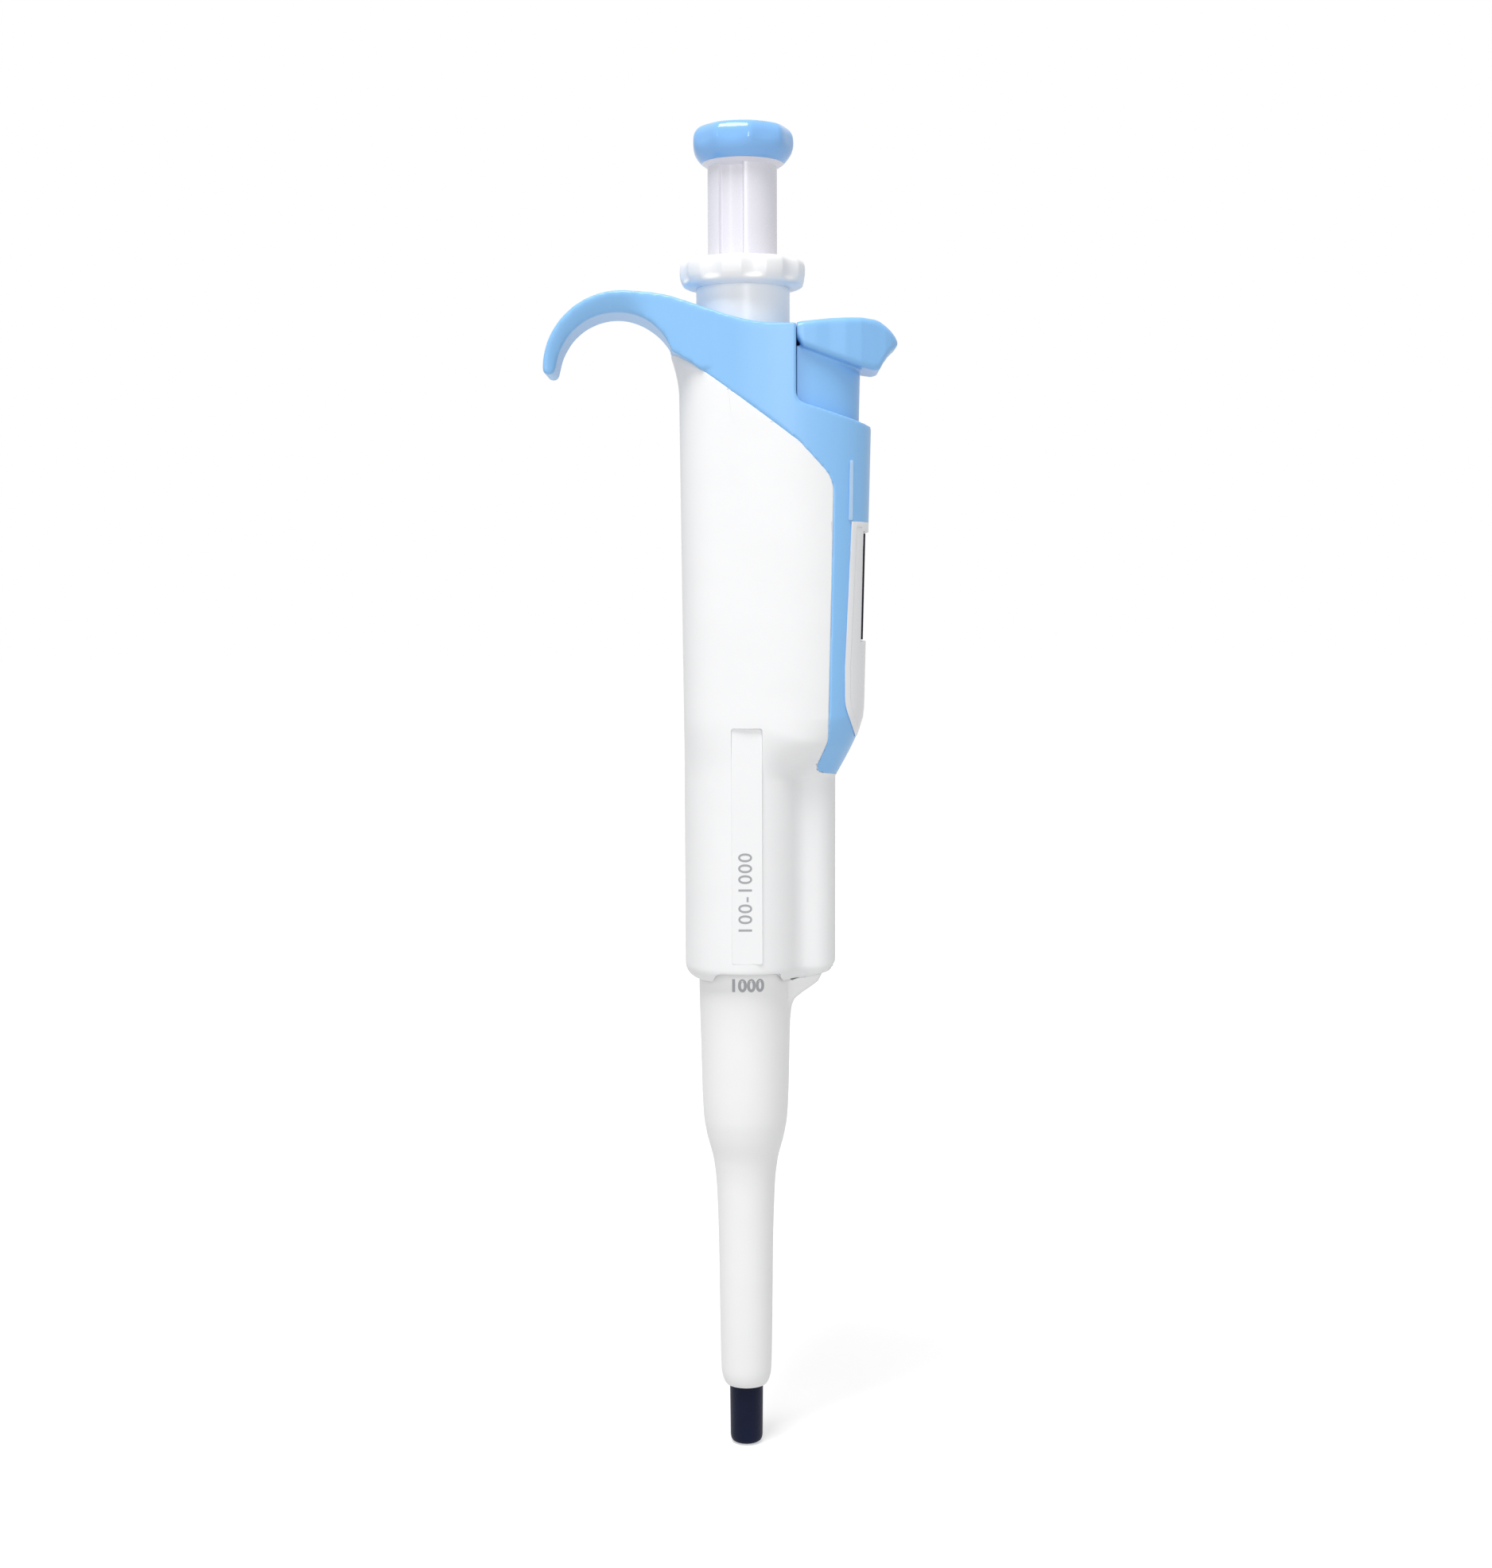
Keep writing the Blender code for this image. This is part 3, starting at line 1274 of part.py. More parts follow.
def ejector_sleeve():
    """The white cone that strips the tip, with the wing that its rod pushes."""
    outside = sleeve_outside()
    made = turned("ejector_sleeve", [(0, outside[0][1])] + outside + [
        (SLEEVE_MOUTH_RADIUS + 0.0002, SLEEVE_Z), (0, SLEEVE_Z),
    ])
    wing = side_prism("ejector_wing", filleted([
        (SLEEVE_RADIUS - 0.0006, FOOT_Z - 0.0060),
        (SLEEVE_RADIUS - 0.0001, FOOT_Z - 0.0046, 0.0010),
        (SLEEVE_RADIUS + 0.0021, FOOT_Z - 0.0026, 0.0030),
        (SLEEVE_RADIUS + 0.0050, FOOT_Z - 0.0006, 0.0010),
        (SLEEVE_RADIUS + 0.0057, FOOT_Z + 0.0007),
        (SLEEVE_RADIUS - 0.0006, FOOT_Z - 0.0008),
    ], 3), 2 * WING_HALF_WIDTH)
    combine(made, wing, "UNION")
    inside = [(radius - SLEEVE_WALL, height) for radius, height in outside]
    inside[0] = (inside[0][0], outside[0][1] + 0.001)
    inside[-3:] = [(SLEEVE_MOUTH_RADIUS + 0.0002, SLEEVE_Z + 0.0028), (SLEEVE_MOUTH_RADIUS, SLEEVE_Z - 0.001)]
    hollow_form = turned("sleeve_inside", [(0, inside[0][1])] + inside + [(0, SLEEVE_Z - 0.001)])
    combine(made, hollow_form, "DIFFERENCE")
    socket = rod(
        "wing_socket", EJECTOR_ROD_RADIUS + GAP, FOOT_Z + EJECTOR_ROD_END - GAP, FOOT_Z + 0.01,
        x=EJECTOR_ROD_X,
    )
    combine(made, socket, "DIFFERENCE")
    paint(made, *WHITE)
    return made


def sectioned(name, start, reach, stations):
    """A form along +X through rounded sections at (share of reach, low, high, half width) stations."""
    work = bmesh.new()
    rows = []
    for share, low, high, half in stations:
        edge = min(LIP_EDGE, (high - low) * 0.45)
        row = []
        for quarter, (side, height) in enumerate(((1, high), (-1, high), (-1, low), (1, low))):
            for step in range(4):
                angle = math.pi / 2 * (quarter + step / 3)
                lift = edge if height == low else -edge
                y = side * (half - edge) + edge * math.cos(angle)
                z = BODY_TOP_Z + height + lift + edge * math.sin(angle)
                row.append(work.verts.new((start + reach * share, y, z)))
        rows.append(row)
    close_rows(work, rows)
    mesh = bpy.data.meshes.new(name)
    work.to_mesh(mesh)
    work.free()
    return piece(name, mesh)


def ejector_button():
    """The blue thumb piece: a lip that overhangs the pocket, on a stem that fills it."""
    made = lofted("ejector_button", [
        (height, UPPER_WALL + GAP) for height in heights(EJECTOR_STEM_Z, BODY_TOP_Z - 0.0038, 3)
    ])
    side = POCKET_X + GAP
    reach = block("stem_reach", (side, -0.02, 0), (0.03, 0.02, 1))
    combine(made, reach, "INTERSECT")
    lip = sectioned("ejector_lip", side, LIP_REACH, [
        (0.000, -0.0025, 0.0002, LIP_HALF_WIDTH),
        (0.060, -0.0041, 0.0004, LIP_HALF_WIDTH),
        (0.320, -0.0057, 0.0010, LIP_HALF_WIDTH - 0.0010),
        (0.630, -0.0074, 0.0013, LIP_HALF_WIDTH - 0.0024),
        (0.760, -0.0079, 0.0011, LIP_HALF_WIDTH - 0.0037),
        (0.815, -0.0077, 0.0008, LIP_HALF_WIDTH - 0.0043),
        (0.875, -0.0057, 0.0001, LIP_HALF_WIDTH - 0.0049),
        (0.955, -0.0040, -0.0011, LIP_HALF_WIDTH - 0.0061),
        (1.000, -0.0031, -0.0025, LIP_HALF_WIDTH - 0.0076),
    ])
    combine(made, lip, "UNION")
    socket = rod(
        "button_rod_socket", EJECTOR_ROD_RADIUS + GAP, EJECTOR_STEM_Z - 0.001, EJECTOR_STEM_Z + 0.006,
        x=EJECTOR_RUN_X, y=EJECTOR_RUN_Y,
    )
    combine(made, socket, "DIFFERENCE")
    paint(made, *BLUE)
    return made


def ejector_rod():
    """The bent rod that passes the counter and pushes the sleeve down."""
    jog_top = BRACKET_Z - EJECTOR_TRAVEL * 0.3
    jog_bottom = jog_top - 0.0070
    places = [
        (EJECTOR_RUN_X, EJECTOR_RUN_Y, EJECTOR_STEM_Z + 0.006 - GAP),
        (EJECTOR_RUN_X, EJECTOR_RUN_Y, jog_top + 0.0012),
        (EJECTOR_RUN_X + 0.0001, EJECTOR_RUN_Y - 0.0006, jog_top - 0.0004),
        (EJECTOR_ROD_X - 0.0001, 0.0006, jog_bottom + 0.0004),
        (EJECTOR_ROD_X, 0, jog_bottom - 0.0012),
        (EJECTOR_ROD_X, 0, FOOT_Z + EJECTOR_ROD_END),
    ]
    curve = bpy.data.curves.new("ejector_rod", "CURVE")
    curve.dimensions = "3D"
    curve.bevel_depth = EJECTOR_ROD_RADIUS
    curve.bevel_resolution = 3
    curve.use_fill_caps = True
    curve.render_resolution_u = 0
    spline = curve.splines.new("POLY")
    spline.points.add(len(places) - 1)
    for point, place in zip(spline.points, places):
        point.co = (*place, 1)
    made = meshed("ejector_rod", curve)
    paint(made, *STEEL)
    return made


def ejector_collar():
    bottom = CHAMBER_Z + GAP + EJECTOR_SPRING_LENGTH + GAP
    made = ring(
        "ejector_collar", EJECTOR_ROD_RADIUS + GAP, EJECTOR_COLLAR_RADIUS, bottom, EJECTOR_COLLAR_HEIGHT,
        SMALL_ROUND, EJECTOR_ROD_X,
    )
    paint(made, *STEEL)
    return made


def springs():
    primary = coil("primary_spring", PRIMARY_RADIUS, PRIMARY_WIRE, SPRING_Z, HEAD_Z - GAP, PRIMARY_TURNS)
    blow_out = coil(
        "blow_out_spring", BLOW_OUT_RADIUS, BLOW_OUT_WIRE, SPRING_Z, BLOW_OUT_Z - GAP, BLOW_OUT_TURNS
    )
    bottom = CHAMBER_Z + GAP
    ejector = coil(
        "ejector_spring", EJECTOR_SPRING_RADIUS, EJECTOR_WIRE, bottom, bottom + EJECTOR_SPRING_LENGTH,
        EJECTOR_TURNS, EJECTOR_ROD_X,
    )
    for made in (primary, blow_out, ejector):
        paint(made, *STEEL)
    return primary, blow_out, ejector


def gather(name, pieces, location=(0, 0, 0)):
    """Parent the pieces of one moving body to an empty on its joint's axis."""
    empty = bpy.data.objects.new(name, None)
    PIPETTE.objects.link(empty)
    empty.location = location
    for made in pieces:
        made.parent = empty
        made.location = Vector(made.location) - Vector(location)


def build():
    body = [
        handle_shell(), hook_body(), window_bezel(), window_lens(), label_insert(), lower_housing(),
        coupling_nut(), seal_holder(), piston_seal(), spring_seat(), nut_guide(), counter_bracket(),
        bearing_plate(),
    ]
    gather("pipette_body", body)
    gather("dial_axis", [volume_ring(), screw_sleeve(), dial_gear(), sleeve_clip(), dial_o_ring()])
    gather("stop_nut_axis", [stop_nut()])
    gather("plunger_axis", [
        button_cap(), button_stem(), plunger_rod(), stop_collar(), piston_head(), piston(),
    ])
    gather("blow_out_axis", [blow_out_washer()])
    gather("ejector_axis", [ejector_button(), ejector_rod(), ejector_collar(), ejector_sleeve()])
    drums = [number_wheel(index) for index in range(len(WHEELS))]
    gather("counter_axis", [counter_gear(), counter_shaft()] + drums, (COUNTER_X, 0, 0))
    springs()


build()
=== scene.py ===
"""The looks of a single-channel micropipette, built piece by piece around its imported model."""
import math

import bmesh
import bpy
from mathutils import Matrix, Vector


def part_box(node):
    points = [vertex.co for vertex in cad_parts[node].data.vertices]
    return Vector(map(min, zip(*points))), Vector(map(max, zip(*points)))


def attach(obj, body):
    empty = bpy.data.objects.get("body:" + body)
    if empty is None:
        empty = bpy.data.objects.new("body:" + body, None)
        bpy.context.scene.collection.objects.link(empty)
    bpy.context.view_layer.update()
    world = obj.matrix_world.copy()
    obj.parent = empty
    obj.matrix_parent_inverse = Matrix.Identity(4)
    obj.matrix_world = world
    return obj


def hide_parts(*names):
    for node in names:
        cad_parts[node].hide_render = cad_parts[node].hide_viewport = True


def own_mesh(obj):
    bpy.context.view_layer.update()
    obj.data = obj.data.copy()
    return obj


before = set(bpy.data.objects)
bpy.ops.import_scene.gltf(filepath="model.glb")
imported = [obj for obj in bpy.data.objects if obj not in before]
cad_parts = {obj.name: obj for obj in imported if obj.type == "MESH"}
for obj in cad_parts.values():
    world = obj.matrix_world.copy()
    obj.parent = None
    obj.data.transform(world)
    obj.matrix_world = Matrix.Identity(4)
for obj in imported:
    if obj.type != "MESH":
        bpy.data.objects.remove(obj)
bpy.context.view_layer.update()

# Camera
# It stands 0.4 m in front of the pipette, a little above its middle, tipped down and rolled a little.
def new_object(name, data):
    """A new object in the scene."""
    made = bpy.data.objects.new(name, data)
    bpy.context.scene.collection.objects.link(made)
    return made


body_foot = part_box("handle_shell")[0].z
camera = new_object("camera", bpy.data.cameras.new("camera"))
camera.data.sensor_width = 36
camera.data.lens = 50.33
camera.data.clip_start = 0.01
camera.location = (0.00026, -0.400, body_foot + 0.0681)
tip_down = Matrix.Rotation(math.radians(90 - 4.645), 4, "X")
roll = Matrix.Rotation(math.radians(-0.186), 4, "Z")
camera.rotation_euler = (tip_down @ roll).to_euler()
bpy.context.scene.camera = camera
bpy.context.scene.view_settings.view_transform = "Standard"


# Studio
# A white sweep under a white sky, a wide soft box overhead and a little to the left, and two narrow
# ones in front for the body's bright middle and the button's highlights.
def builder(tree):
    """A short way to add nodes to an emptied tree, each with (source, input) pairs and values by name.

    A source is a socket, a node for its first output, or a value.
    """
    tree.nodes.clear()

    def add(kind, links=(), **values):
        node = tree.nodes.new(kind)
        for key, value in values.items():
            if key in node.inputs:
                node.inputs[key].default_value = value
            else:
                setattr(node, key, value)
        for source, target in links:
            if isinstance(source, bpy.types.Node):
                source = source.outputs[0]
            if isinstance(source, bpy.types.NodeSocket):
                tree.links.new(source, node.inputs[target])
            else:
                node.inputs[target].default_value = source
        return node

    return add


def surface(name):
    """A new material, its node builder and the place on the object as a socket."""
    material = bpy.data.materials.new(name)
    material.use_nodes = True
    add = builder(material.node_tree)
    return material, add, add("ShaderNodeTexCoord").outputs["Object"]


def coated(add, links):
    """End a material's tree with a surface of these (source, input) pairs."""
    shader = add("ShaderNodeBsdfPrincipled", links)
    add("ShaderNodeOutputMaterial", [(shader, "Surface")])


def worked(add, operation, *values, clamp=False):
    """A math node on one or two values."""
    return add("ShaderNodeMath", [(value, slot) for slot, value in enumerate(values)],
               operation=operation, use_clamp=clamp)


def mapped(add, share, low, high):
    """A node that takes a share from 0 to 1 to a value from low to high."""
    return add("ShaderNodeMapRange", [(share, 0), (low, "To Min"), (high, "To Max")])


def seen_share(add):
    """1 for rays from the camera, a reflection or a clear piece, and 0 for rays that only carry light."""
    path = add("ShaderNodeLightPath").outputs
    seen = worked(add, "ADD", path["Is Camera Ray"], path["Is Glossy Ray"])
    return worked(add, "ADD", seen, path["Is Transmission Ray"], clamp=True)


room = bpy.data.worlds.new("room")
bpy.context.scene.world = room
room.use_nodes = True
add = builder(room.node_tree)
strength = mapped(add, seen_share(add), 0.46, 1.0)
white = add("ShaderNodeBackground", [(strength, "Strength")], Color=(1, 1, 1, 1))
add("ShaderNodeOutputWorld", [(white, "Surface")])


def soft_box(name, place, aim, width, height, power):
    """A soft light that faces a point."""
    lamp = new_object(name, bpy.data.lights.new(name, "AREA"))
    lamp.data.shape = "RECTANGLE"
    lamp.data.size = width
    lamp.data.size_y = height
    lamp.data.energy = power
    lamp.location = place
    lamp.rotation_euler = (Vector(aim) - Vector(place)).to_track_quat("-Z", "Y").to_euler()


soft_box("overhead", (-0.19, -0.40, 1.12), (0, 0, 0.13), 0.46, 0.46, 8.7)
soft_box("front_strip", (0.13, -0.87, 0.36), (0, 0, 0.16), 0.07, 0.32, 1.50)
soft_box("left_strip", (-0.60, -0.60, 0.45), (0, 0, 0.16), 0.05, 0.30, 0.42)

floor_mesh = bpy.data.meshes.new("floor")
far = 6.0
corners = [(-far, -far, 0), (far, -far, 0), (far, far, 0), (-far, far, 0)]
floor_mesh.from_pydata(corners, [], [(0, 1, 2, 3)])
floor = new_object("floor", floor_mesh)
floor.location.z = -0.0002
sweep, add, place = surface("white_sweep")
away = add("ShaderNodeVectorMath", [(place, 0)], operation="LENGTH").outputs["Value"]
lift = add("ShaderNodeMapRange", [(away, 0), (0.04, "From Min"), (0.60, "From Max"), (0.48, "To Min"),
                                  (0.70, "To Max")])
glow = add("ShaderNodeEmission", [(worked(add, "MULTIPLY", lift, seen_share(add)), "Strength")])
matt = add("ShaderNodeBsdfDiffuse", Color=(0.67, 0.67, 0.67, 1))
both = add("ShaderNodeAddShader", [(matt, 0), (glow, 1)])
add("ShaderNodeOutputMaterial", [(both, "Surface")])
floor_mesh.materials.append(sweep)


# Grip
# White moulded ABS in one shell: a barrel with the ejector's channel in front, an S-shaped shoulder
# and a flattened oval above it. It is open at the foot, where the ejector sleeve slides up into it.
gap = 0.0003
wall = 0.0015
upper_wall = 0.0019
shoulder_z = body_foot + 0.0366
oval_z = shoulder_z + 0.0115
body_top = oval_z + 0.0695
plan_centre = 0.0020
barrel_radius = 0.01095
channel_x = 0.0120
channel_radius = 0.0046
channel_fillet = 0.0029
oval_front = 0.0218
front_lean = 0.0232
oval_back = 0.0110
back_lean = 0.0095
half_width = 0.0114
squareness = 2.5
flare_z = body_top - 0.0115
flare_rise = 0.0069
flare_reach = 0.00148
well_x = 0.0093
neck_radius = 0.0076
collar_radius = 0.0084
collar_z = body_top - 0.0020
plan_reaches = {}


def held(value):
    """The value, kept between 0 and 1."""
    return min(max(value, 0), 1)


def eased(share):
    return share * share * (3 - 2 * share)


def barrel_and_channel(angle, inset):
    """The grip's plan as a distance from its centre: two circles run together by a wide fillet."""
    key = (round(angle, 6), inset)
    if key not in plan_reaches:
        low, high = 0.0, 0.02
        while high - low > 0.000001:
            reach = (low + high) / 2
            x = plan_centre + reach * math.cos(angle)
            y = reach * math.sin(angle)
            barrel = math.hypot(x, y) - barrel_radius + inset
            channel = math.hypot(x - channel_x, y) - channel_radius + inset
            near = max(channel_fillet - abs(barrel - channel), 0) / channel_fillet
            if min(barrel, channel) - near * near * channel_fillet / 4 < 0:
                low = reach
            else:
                high = reach
        plan_reaches[key] = low
    return plan_reaches[key]


def leaning_oval(angle, height, inset):
    """The upper body's plan: an oval that leans forward as it rises and flares into the hook."""
    rise = height - oval_z
    flare = flare_reach * held((height - flare_z) / flare_rise) ** 1.6
    flare *= max(-math.cos(angle), 0) ** 3
    front = oval_front + front_lean * rise - plan_centre - inset
    back = oval_back + back_lean * rise + flare + plan_centre - inset
    along = front if math.cos(angle) > 0 else back
    total = abs(math.cos(angle) / along) ** squareness
    total += abs(math.sin(angle) / (half_width - inset)) ** squareness
    return total ** (-1 / squareness)


def body_reach(angle, height, inset):
    """The body's plan at any height."""
    forward = max(math.cos(angle), 0)
    rise = held((height - shoulder_z) / (oval_z - shoulder_z))
    side = eased(held(rise * (1 + 0.7 * forward)))
    front_rise = held((height - shoulder_z - 0.0005) / (oval_z - shoulder_z))
    straight = (math.sin(front_rise * math.pi / 2) + front_rise) / 2
    share = side + (straight - side) * forward ** 4
    return barrel_and_channel(angle, inset) * (1 - share) + leaning_oval(angle, height, inset) * share


def closed_skin(name, rows):
    """A closed mesh through rows of as many points each, its first and last row capped."""
    work = bmesh.new()
    made = [[work.verts.new(place) for place in row] for row in rows]
    count = len(made[0])
    for lower, upper in zip(made, made[1:]):
        for i in range(count):
            j = (i + 1) % count
            work.faces.new((lower[i], lower[j], upper[j], upper[i]))
    work.faces.new(made[0])
    work.faces.new(made[-1])
    bmesh.ops.recalc_face_normals(work, faces=work.faces)
    mesh = bpy.data.meshes.new(name)
    work.to_mesh(mesh)
    work.free()
    return new_object(name, mesh)


def row_at(height, angles, reach, x=0.0, y=0.0):
    """Points round an upright axis, each as far out as the reach says for its angle."""
    return [(x + reach(a) * math.cos(a), y + reach(a) * math.sin(a), height) for a in angles]


def crowded(points, first, pull):
    """Angles once round, from -X, that a pull draws together in front."""
    even = [math.tau * (i + first) / points - math.pi for i in range(points)]
    return [angle - pull * math.sin(angle) for angle in even]


def body_skin(name, levels, points=168, reach=body_reach):
    """The body's form through (height, inset) levels."""
    angles = crowded(points, 0.5, 0.45)
    return closed_skin(name, [
        row_at(height, angles, lambda a: reach(a, height, inset), plan_centre) for height, inset in levels])


def steps_between(start, end, count):
    return [start + (end - start) * i / count for i in range(count + 1)]


def levels_between(start, end, count, inset=0):
    """Evenly rising (height, inset) levels."""
    return [(height, inset) for height in steps_between(start, end, count)]


def rounded(corners, steps=8):
    """A closed outline through (x, y) or (x, y, radius) corners, each radius drawn as an arc."""
    outline = []
    for index, corner in enumerate(corners):
        here = Vector(corner[:2])
        if len(corner) == 2:
            outline.append(here)
            continue
        back = Vector(corners[index - 1][:2]) - here
        ahead = Vector(corners[(index + 1) % len(corners)][:2]) - here
        half = back.angle(ahead) / 2
        reach = min(corner[2] / math.tan(half), back.length * 0.49, ahead.length * 0.49)
        radius = reach * math.tan(half)
        centre = here + (back.normalized() + ahead.normalized()).normalized() * (radius / math.sin(half))
        start = here + back.normalized() * reach - centre
        turn = start.angle_signed(here + ahead.normalized() * reach - centre)
        for step in range(steps + 1):
            outline.append(centre + Matrix.Rotation(-turn * step / steps, 2) @ start)
    return outline


def side_prism(name, outline, low=-0.03, high=0.03):
    """An outline seen from the side (x, z), drawn out along Y."""
    return closed_skin(name, [[(x, y, z) for x, z in outline] for y in (low, high)])


def box_between(name, low, high):
    corners = [(low[0], low[2]), (high[0], low[2]), (high[0], high[2]), (low[0], high[2])]
    return side_prism(name, corners, low[1], high[1])


def turned(name, profile, points=96, x=0.0, y=0.0):
    """A form on an upright axis through (radius, height) points, a radius being a number or a plan."""
    angles = [math.tau * i / points for i in range(points)]
    return closed_skin(name, [
        row_at(height, angles, radius if callable(radius) else lambda a: radius, x, y)
        for radius, height in profile])


def upright_rod(name, radius, bottom, top, x=0.0, y=0.0, points=48):
    return turned(name, [(radius, bottom), (radius, top)], points, x, y)


def plain_mesh(piece):
    """A mesh of what the piece and its modifiers make."""
    graph = bpy.context.evaluated_depsgraph_get()
    return bpy.data.meshes.new_from_object(piece.evaluated_get(graph))


def settle(piece):
    """Make the piece's modifiers its plain mesh."""
    mesh = plain_mesh(piece)
    piece.modifiers.clear()
    piece.data = mesh


def combine(piece, tool, operation):
    """Cut the piece with a tool, join them or keep what they share; the tool is used up."""
    change = piece.modifiers.new("change", "BOOLEAN")
    change.operation = operation
    change.object = tool
    change.solver = "EXACT"
    settle(piece)
    bpy.data.objects.remove(tool, do_unlink=True)


def cut(piece, tool):
    combine(piece, tool, "DIFFERENCE")


def take_out_works(piece):
    """Hollow a body shell for the mechanism, the dial's neck and the ejector's well."""
    chamber_z = body_foot + 0.0051
    ledge_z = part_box("screw_sleeve")[1].z - 0.0197
    rim_z = body_top - 0.0137
    levels = [(chamber_z, wall)] + levels_between(shoulder_z, oval_z, 8, wall)
    levels += levels_between(oval_z, ledge_z, 4, wall)[1:]
    cut(piece, body_skin("works_chamber", levels, 96))
    cut(piece, body_skin("works_upper", [(ledge_z - gap, upper_wall), (rim_z - 0.0038, upper_wall)], 96))
    well = body_skin("works_well", [(rim_z - 0.0045, upper_wall), (rim_z + 0.0040, upper_wall)], 96)
    front = box_between("works_front", (well_x, -0.02, rim_z - 0.01), (0.03, 0.02, rim_z + 0.006))
    combine(well, front, "INTERSECT")
    cut(piece, well)
    cut(piece, upright_rod("works_bore", neck_radius + gap, rim_z - 0.005, body_top + 0.01))
    cut(piece, upright_rod("works_mouth", collar_radius + gap, collar_z - gap, body_top + 0.01, points=72))


def parting_line(shift):
    """The line between the white grip and the blue body, closed round the grip."""
    corners = [
        (-0.0300, body_top - 0.0019),
        (-0.0126, body_top - 0.0045, 0.0060),
        (-0.0090, body_top - 0.0067, 0.0060),
        (0.0100, body_top - 0.0207, 0.0100),
        (0.0160, body_top - 0.0272, 0.0060),
        (0.0150, shoulder_z + 0.0075, 0.0040),
        (0.0131, shoulder_z + 0.0028, 0.0010),
        (0.0134, shoulder_z + 0.0016, 0.0006),
        (0.0300, shoulder_z - 0.0013),
        (0.0300, body_foot - 0.0100),
        (-0.0300, body_foot - 0.0100),
    ]
    return [point + Vector((shift, shift)) for point in rounded(corners)]


lens_low, lens_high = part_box("window_lens")
window_low = lens_low.z - gap
window_high = lens_high.z + gap
bezel_side = 0.0180
bezel_low = window_low - 0.0172
bezel_high = window_high + 0.0017


def bezel_line(grow):
    """The bezel seen from the side; its front runs past the body's front."""
    side = bezel_side - grow
    return rounded([
        (0.0260, bezel_high + grow),
        (side + 0.0012, bezel_high + grow),
        (side, window_low - 0.0046, 0.0200),
        (side, window_low - 0.0114, 0.0090),
        (side + 0.0021, bezel_low - grow),
        (0.0260, bezel_low - grow),
    ], 14)


def body_form(name):
    """The solid that the grip, the blue body and the bezel are all cut from."""
    rounding = 0.0029
    levels = []
    for i in range(11):
        turn = math.pi / 2 * i / 10
        levels.append((body_foot + rounding * (1 - math.cos(turn)), rounding * (1 - math.sin(turn))))
    levels += levels_between(body_foot + 0.0040, shoulder_z, 6)
    levels += levels_between(shoulder_z, oval_z, 24)[1:]
    levels += levels_between(oval_z, flare_z, 10)[1:]
    levels += levels_between(flare_z, body_top + 0.0062, 14)[1:]
    return body_skin(name, levels)


def soften(piece, width, outside, segments=3, sharp=34):
    """Round the sharp edges whose middle passes the test, then shade smooth with face-weighted normals."""
    work = bmesh.new()
    work.from_mesh(piece.data)
    bmesh.ops.remove_doubles(work, verts=work.verts, dist=0.00003)
    bmesh.ops.dissolve_degenerate(work, edges=work.edges, dist=0.00002)
    edges = []
    for edge in work.edges:
        if len(edge.link_faces) == 2 and edge.calc_face_angle(0) > math.radians(sharp):
            if outside((edge.verts[0].co + edge.verts[1].co) / 2):
                edges.append(edge)
    bmesh.ops.bevel(work, geom=edges, offset=width, offset_type="OFFSET", segments=segments,
                    profile=0.5, affect="EDGES", clamp_overlap=False, miter_outer="ARC")
    for face in work.faces:
        face.smooth = True
    work.to_mesh(piece.data)
    work.free()
    piece.data.set_sharp_from_angle(angle=math.radians(50))
    weigh = piece.modifiers.new("normals", "WEIGHTED_NORMAL")
    weigh.keep_sharp = True
    weigh.weight = 70
    settle(piece)


def on_body_skin(place):
    """True for a point on the body's outer face."""
    across = Vector((place.x - plan_centre, place.y))
    angle = math.atan2(across.y, across.x)
    return across.length > body_reach(angle, place.z, 0) - 0.0004


def moulded_plastic(name, colour, roughness, grain=0.00025, relief=0.10, mottle=0.02, specular=0.5):
    """Moulded plastic: a faint cloudiness in the colour, and an eggshell grain in gloss and height."""
    material, add, place = surface(name)
    cloud = add("ShaderNodeTexNoise", [(place, "Vector")], Scale=140.0, Detail=3.0)
    darker = (*[c * (1 - mottle) for c in colour], 1)
    lighter = (*[min(c * (1 + mottle), 1) for c in colour], 1)
    shade = add("ShaderNodeMix", [(cloud, "Factor"), (darker, "A"), (lighter, "B")], data_type="RGBA")
    fine = add("ShaderNodeTexNoise", [(place, "Vector")], Scale=1 / grain, Detail=2.0)
    gloss = mapped(add, fine, roughness - 0.05, roughness + 0.05)
    bump = add("ShaderNodeBump", [(fine, "Height")], Strength=relief, Distance=grain * 0.3)
    coated(add, [(shade.outputs["Result"], "Base Color"), (gloss, "Roughness"), (bump, "Normal"),
                 (specular, "Specular IOR Level")])
    return material


def dress(piece, material, body, *nodes):
    """Give a finished piece its material, its body and the nodes that it stands for."""
    piece.data.materials.clear()
    piece.data.materials.append(material)
    for polygon in piece.data.polygons:
        polygon.material_index = 0
    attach(piece, body)
    if nodes:
        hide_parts(*nodes)


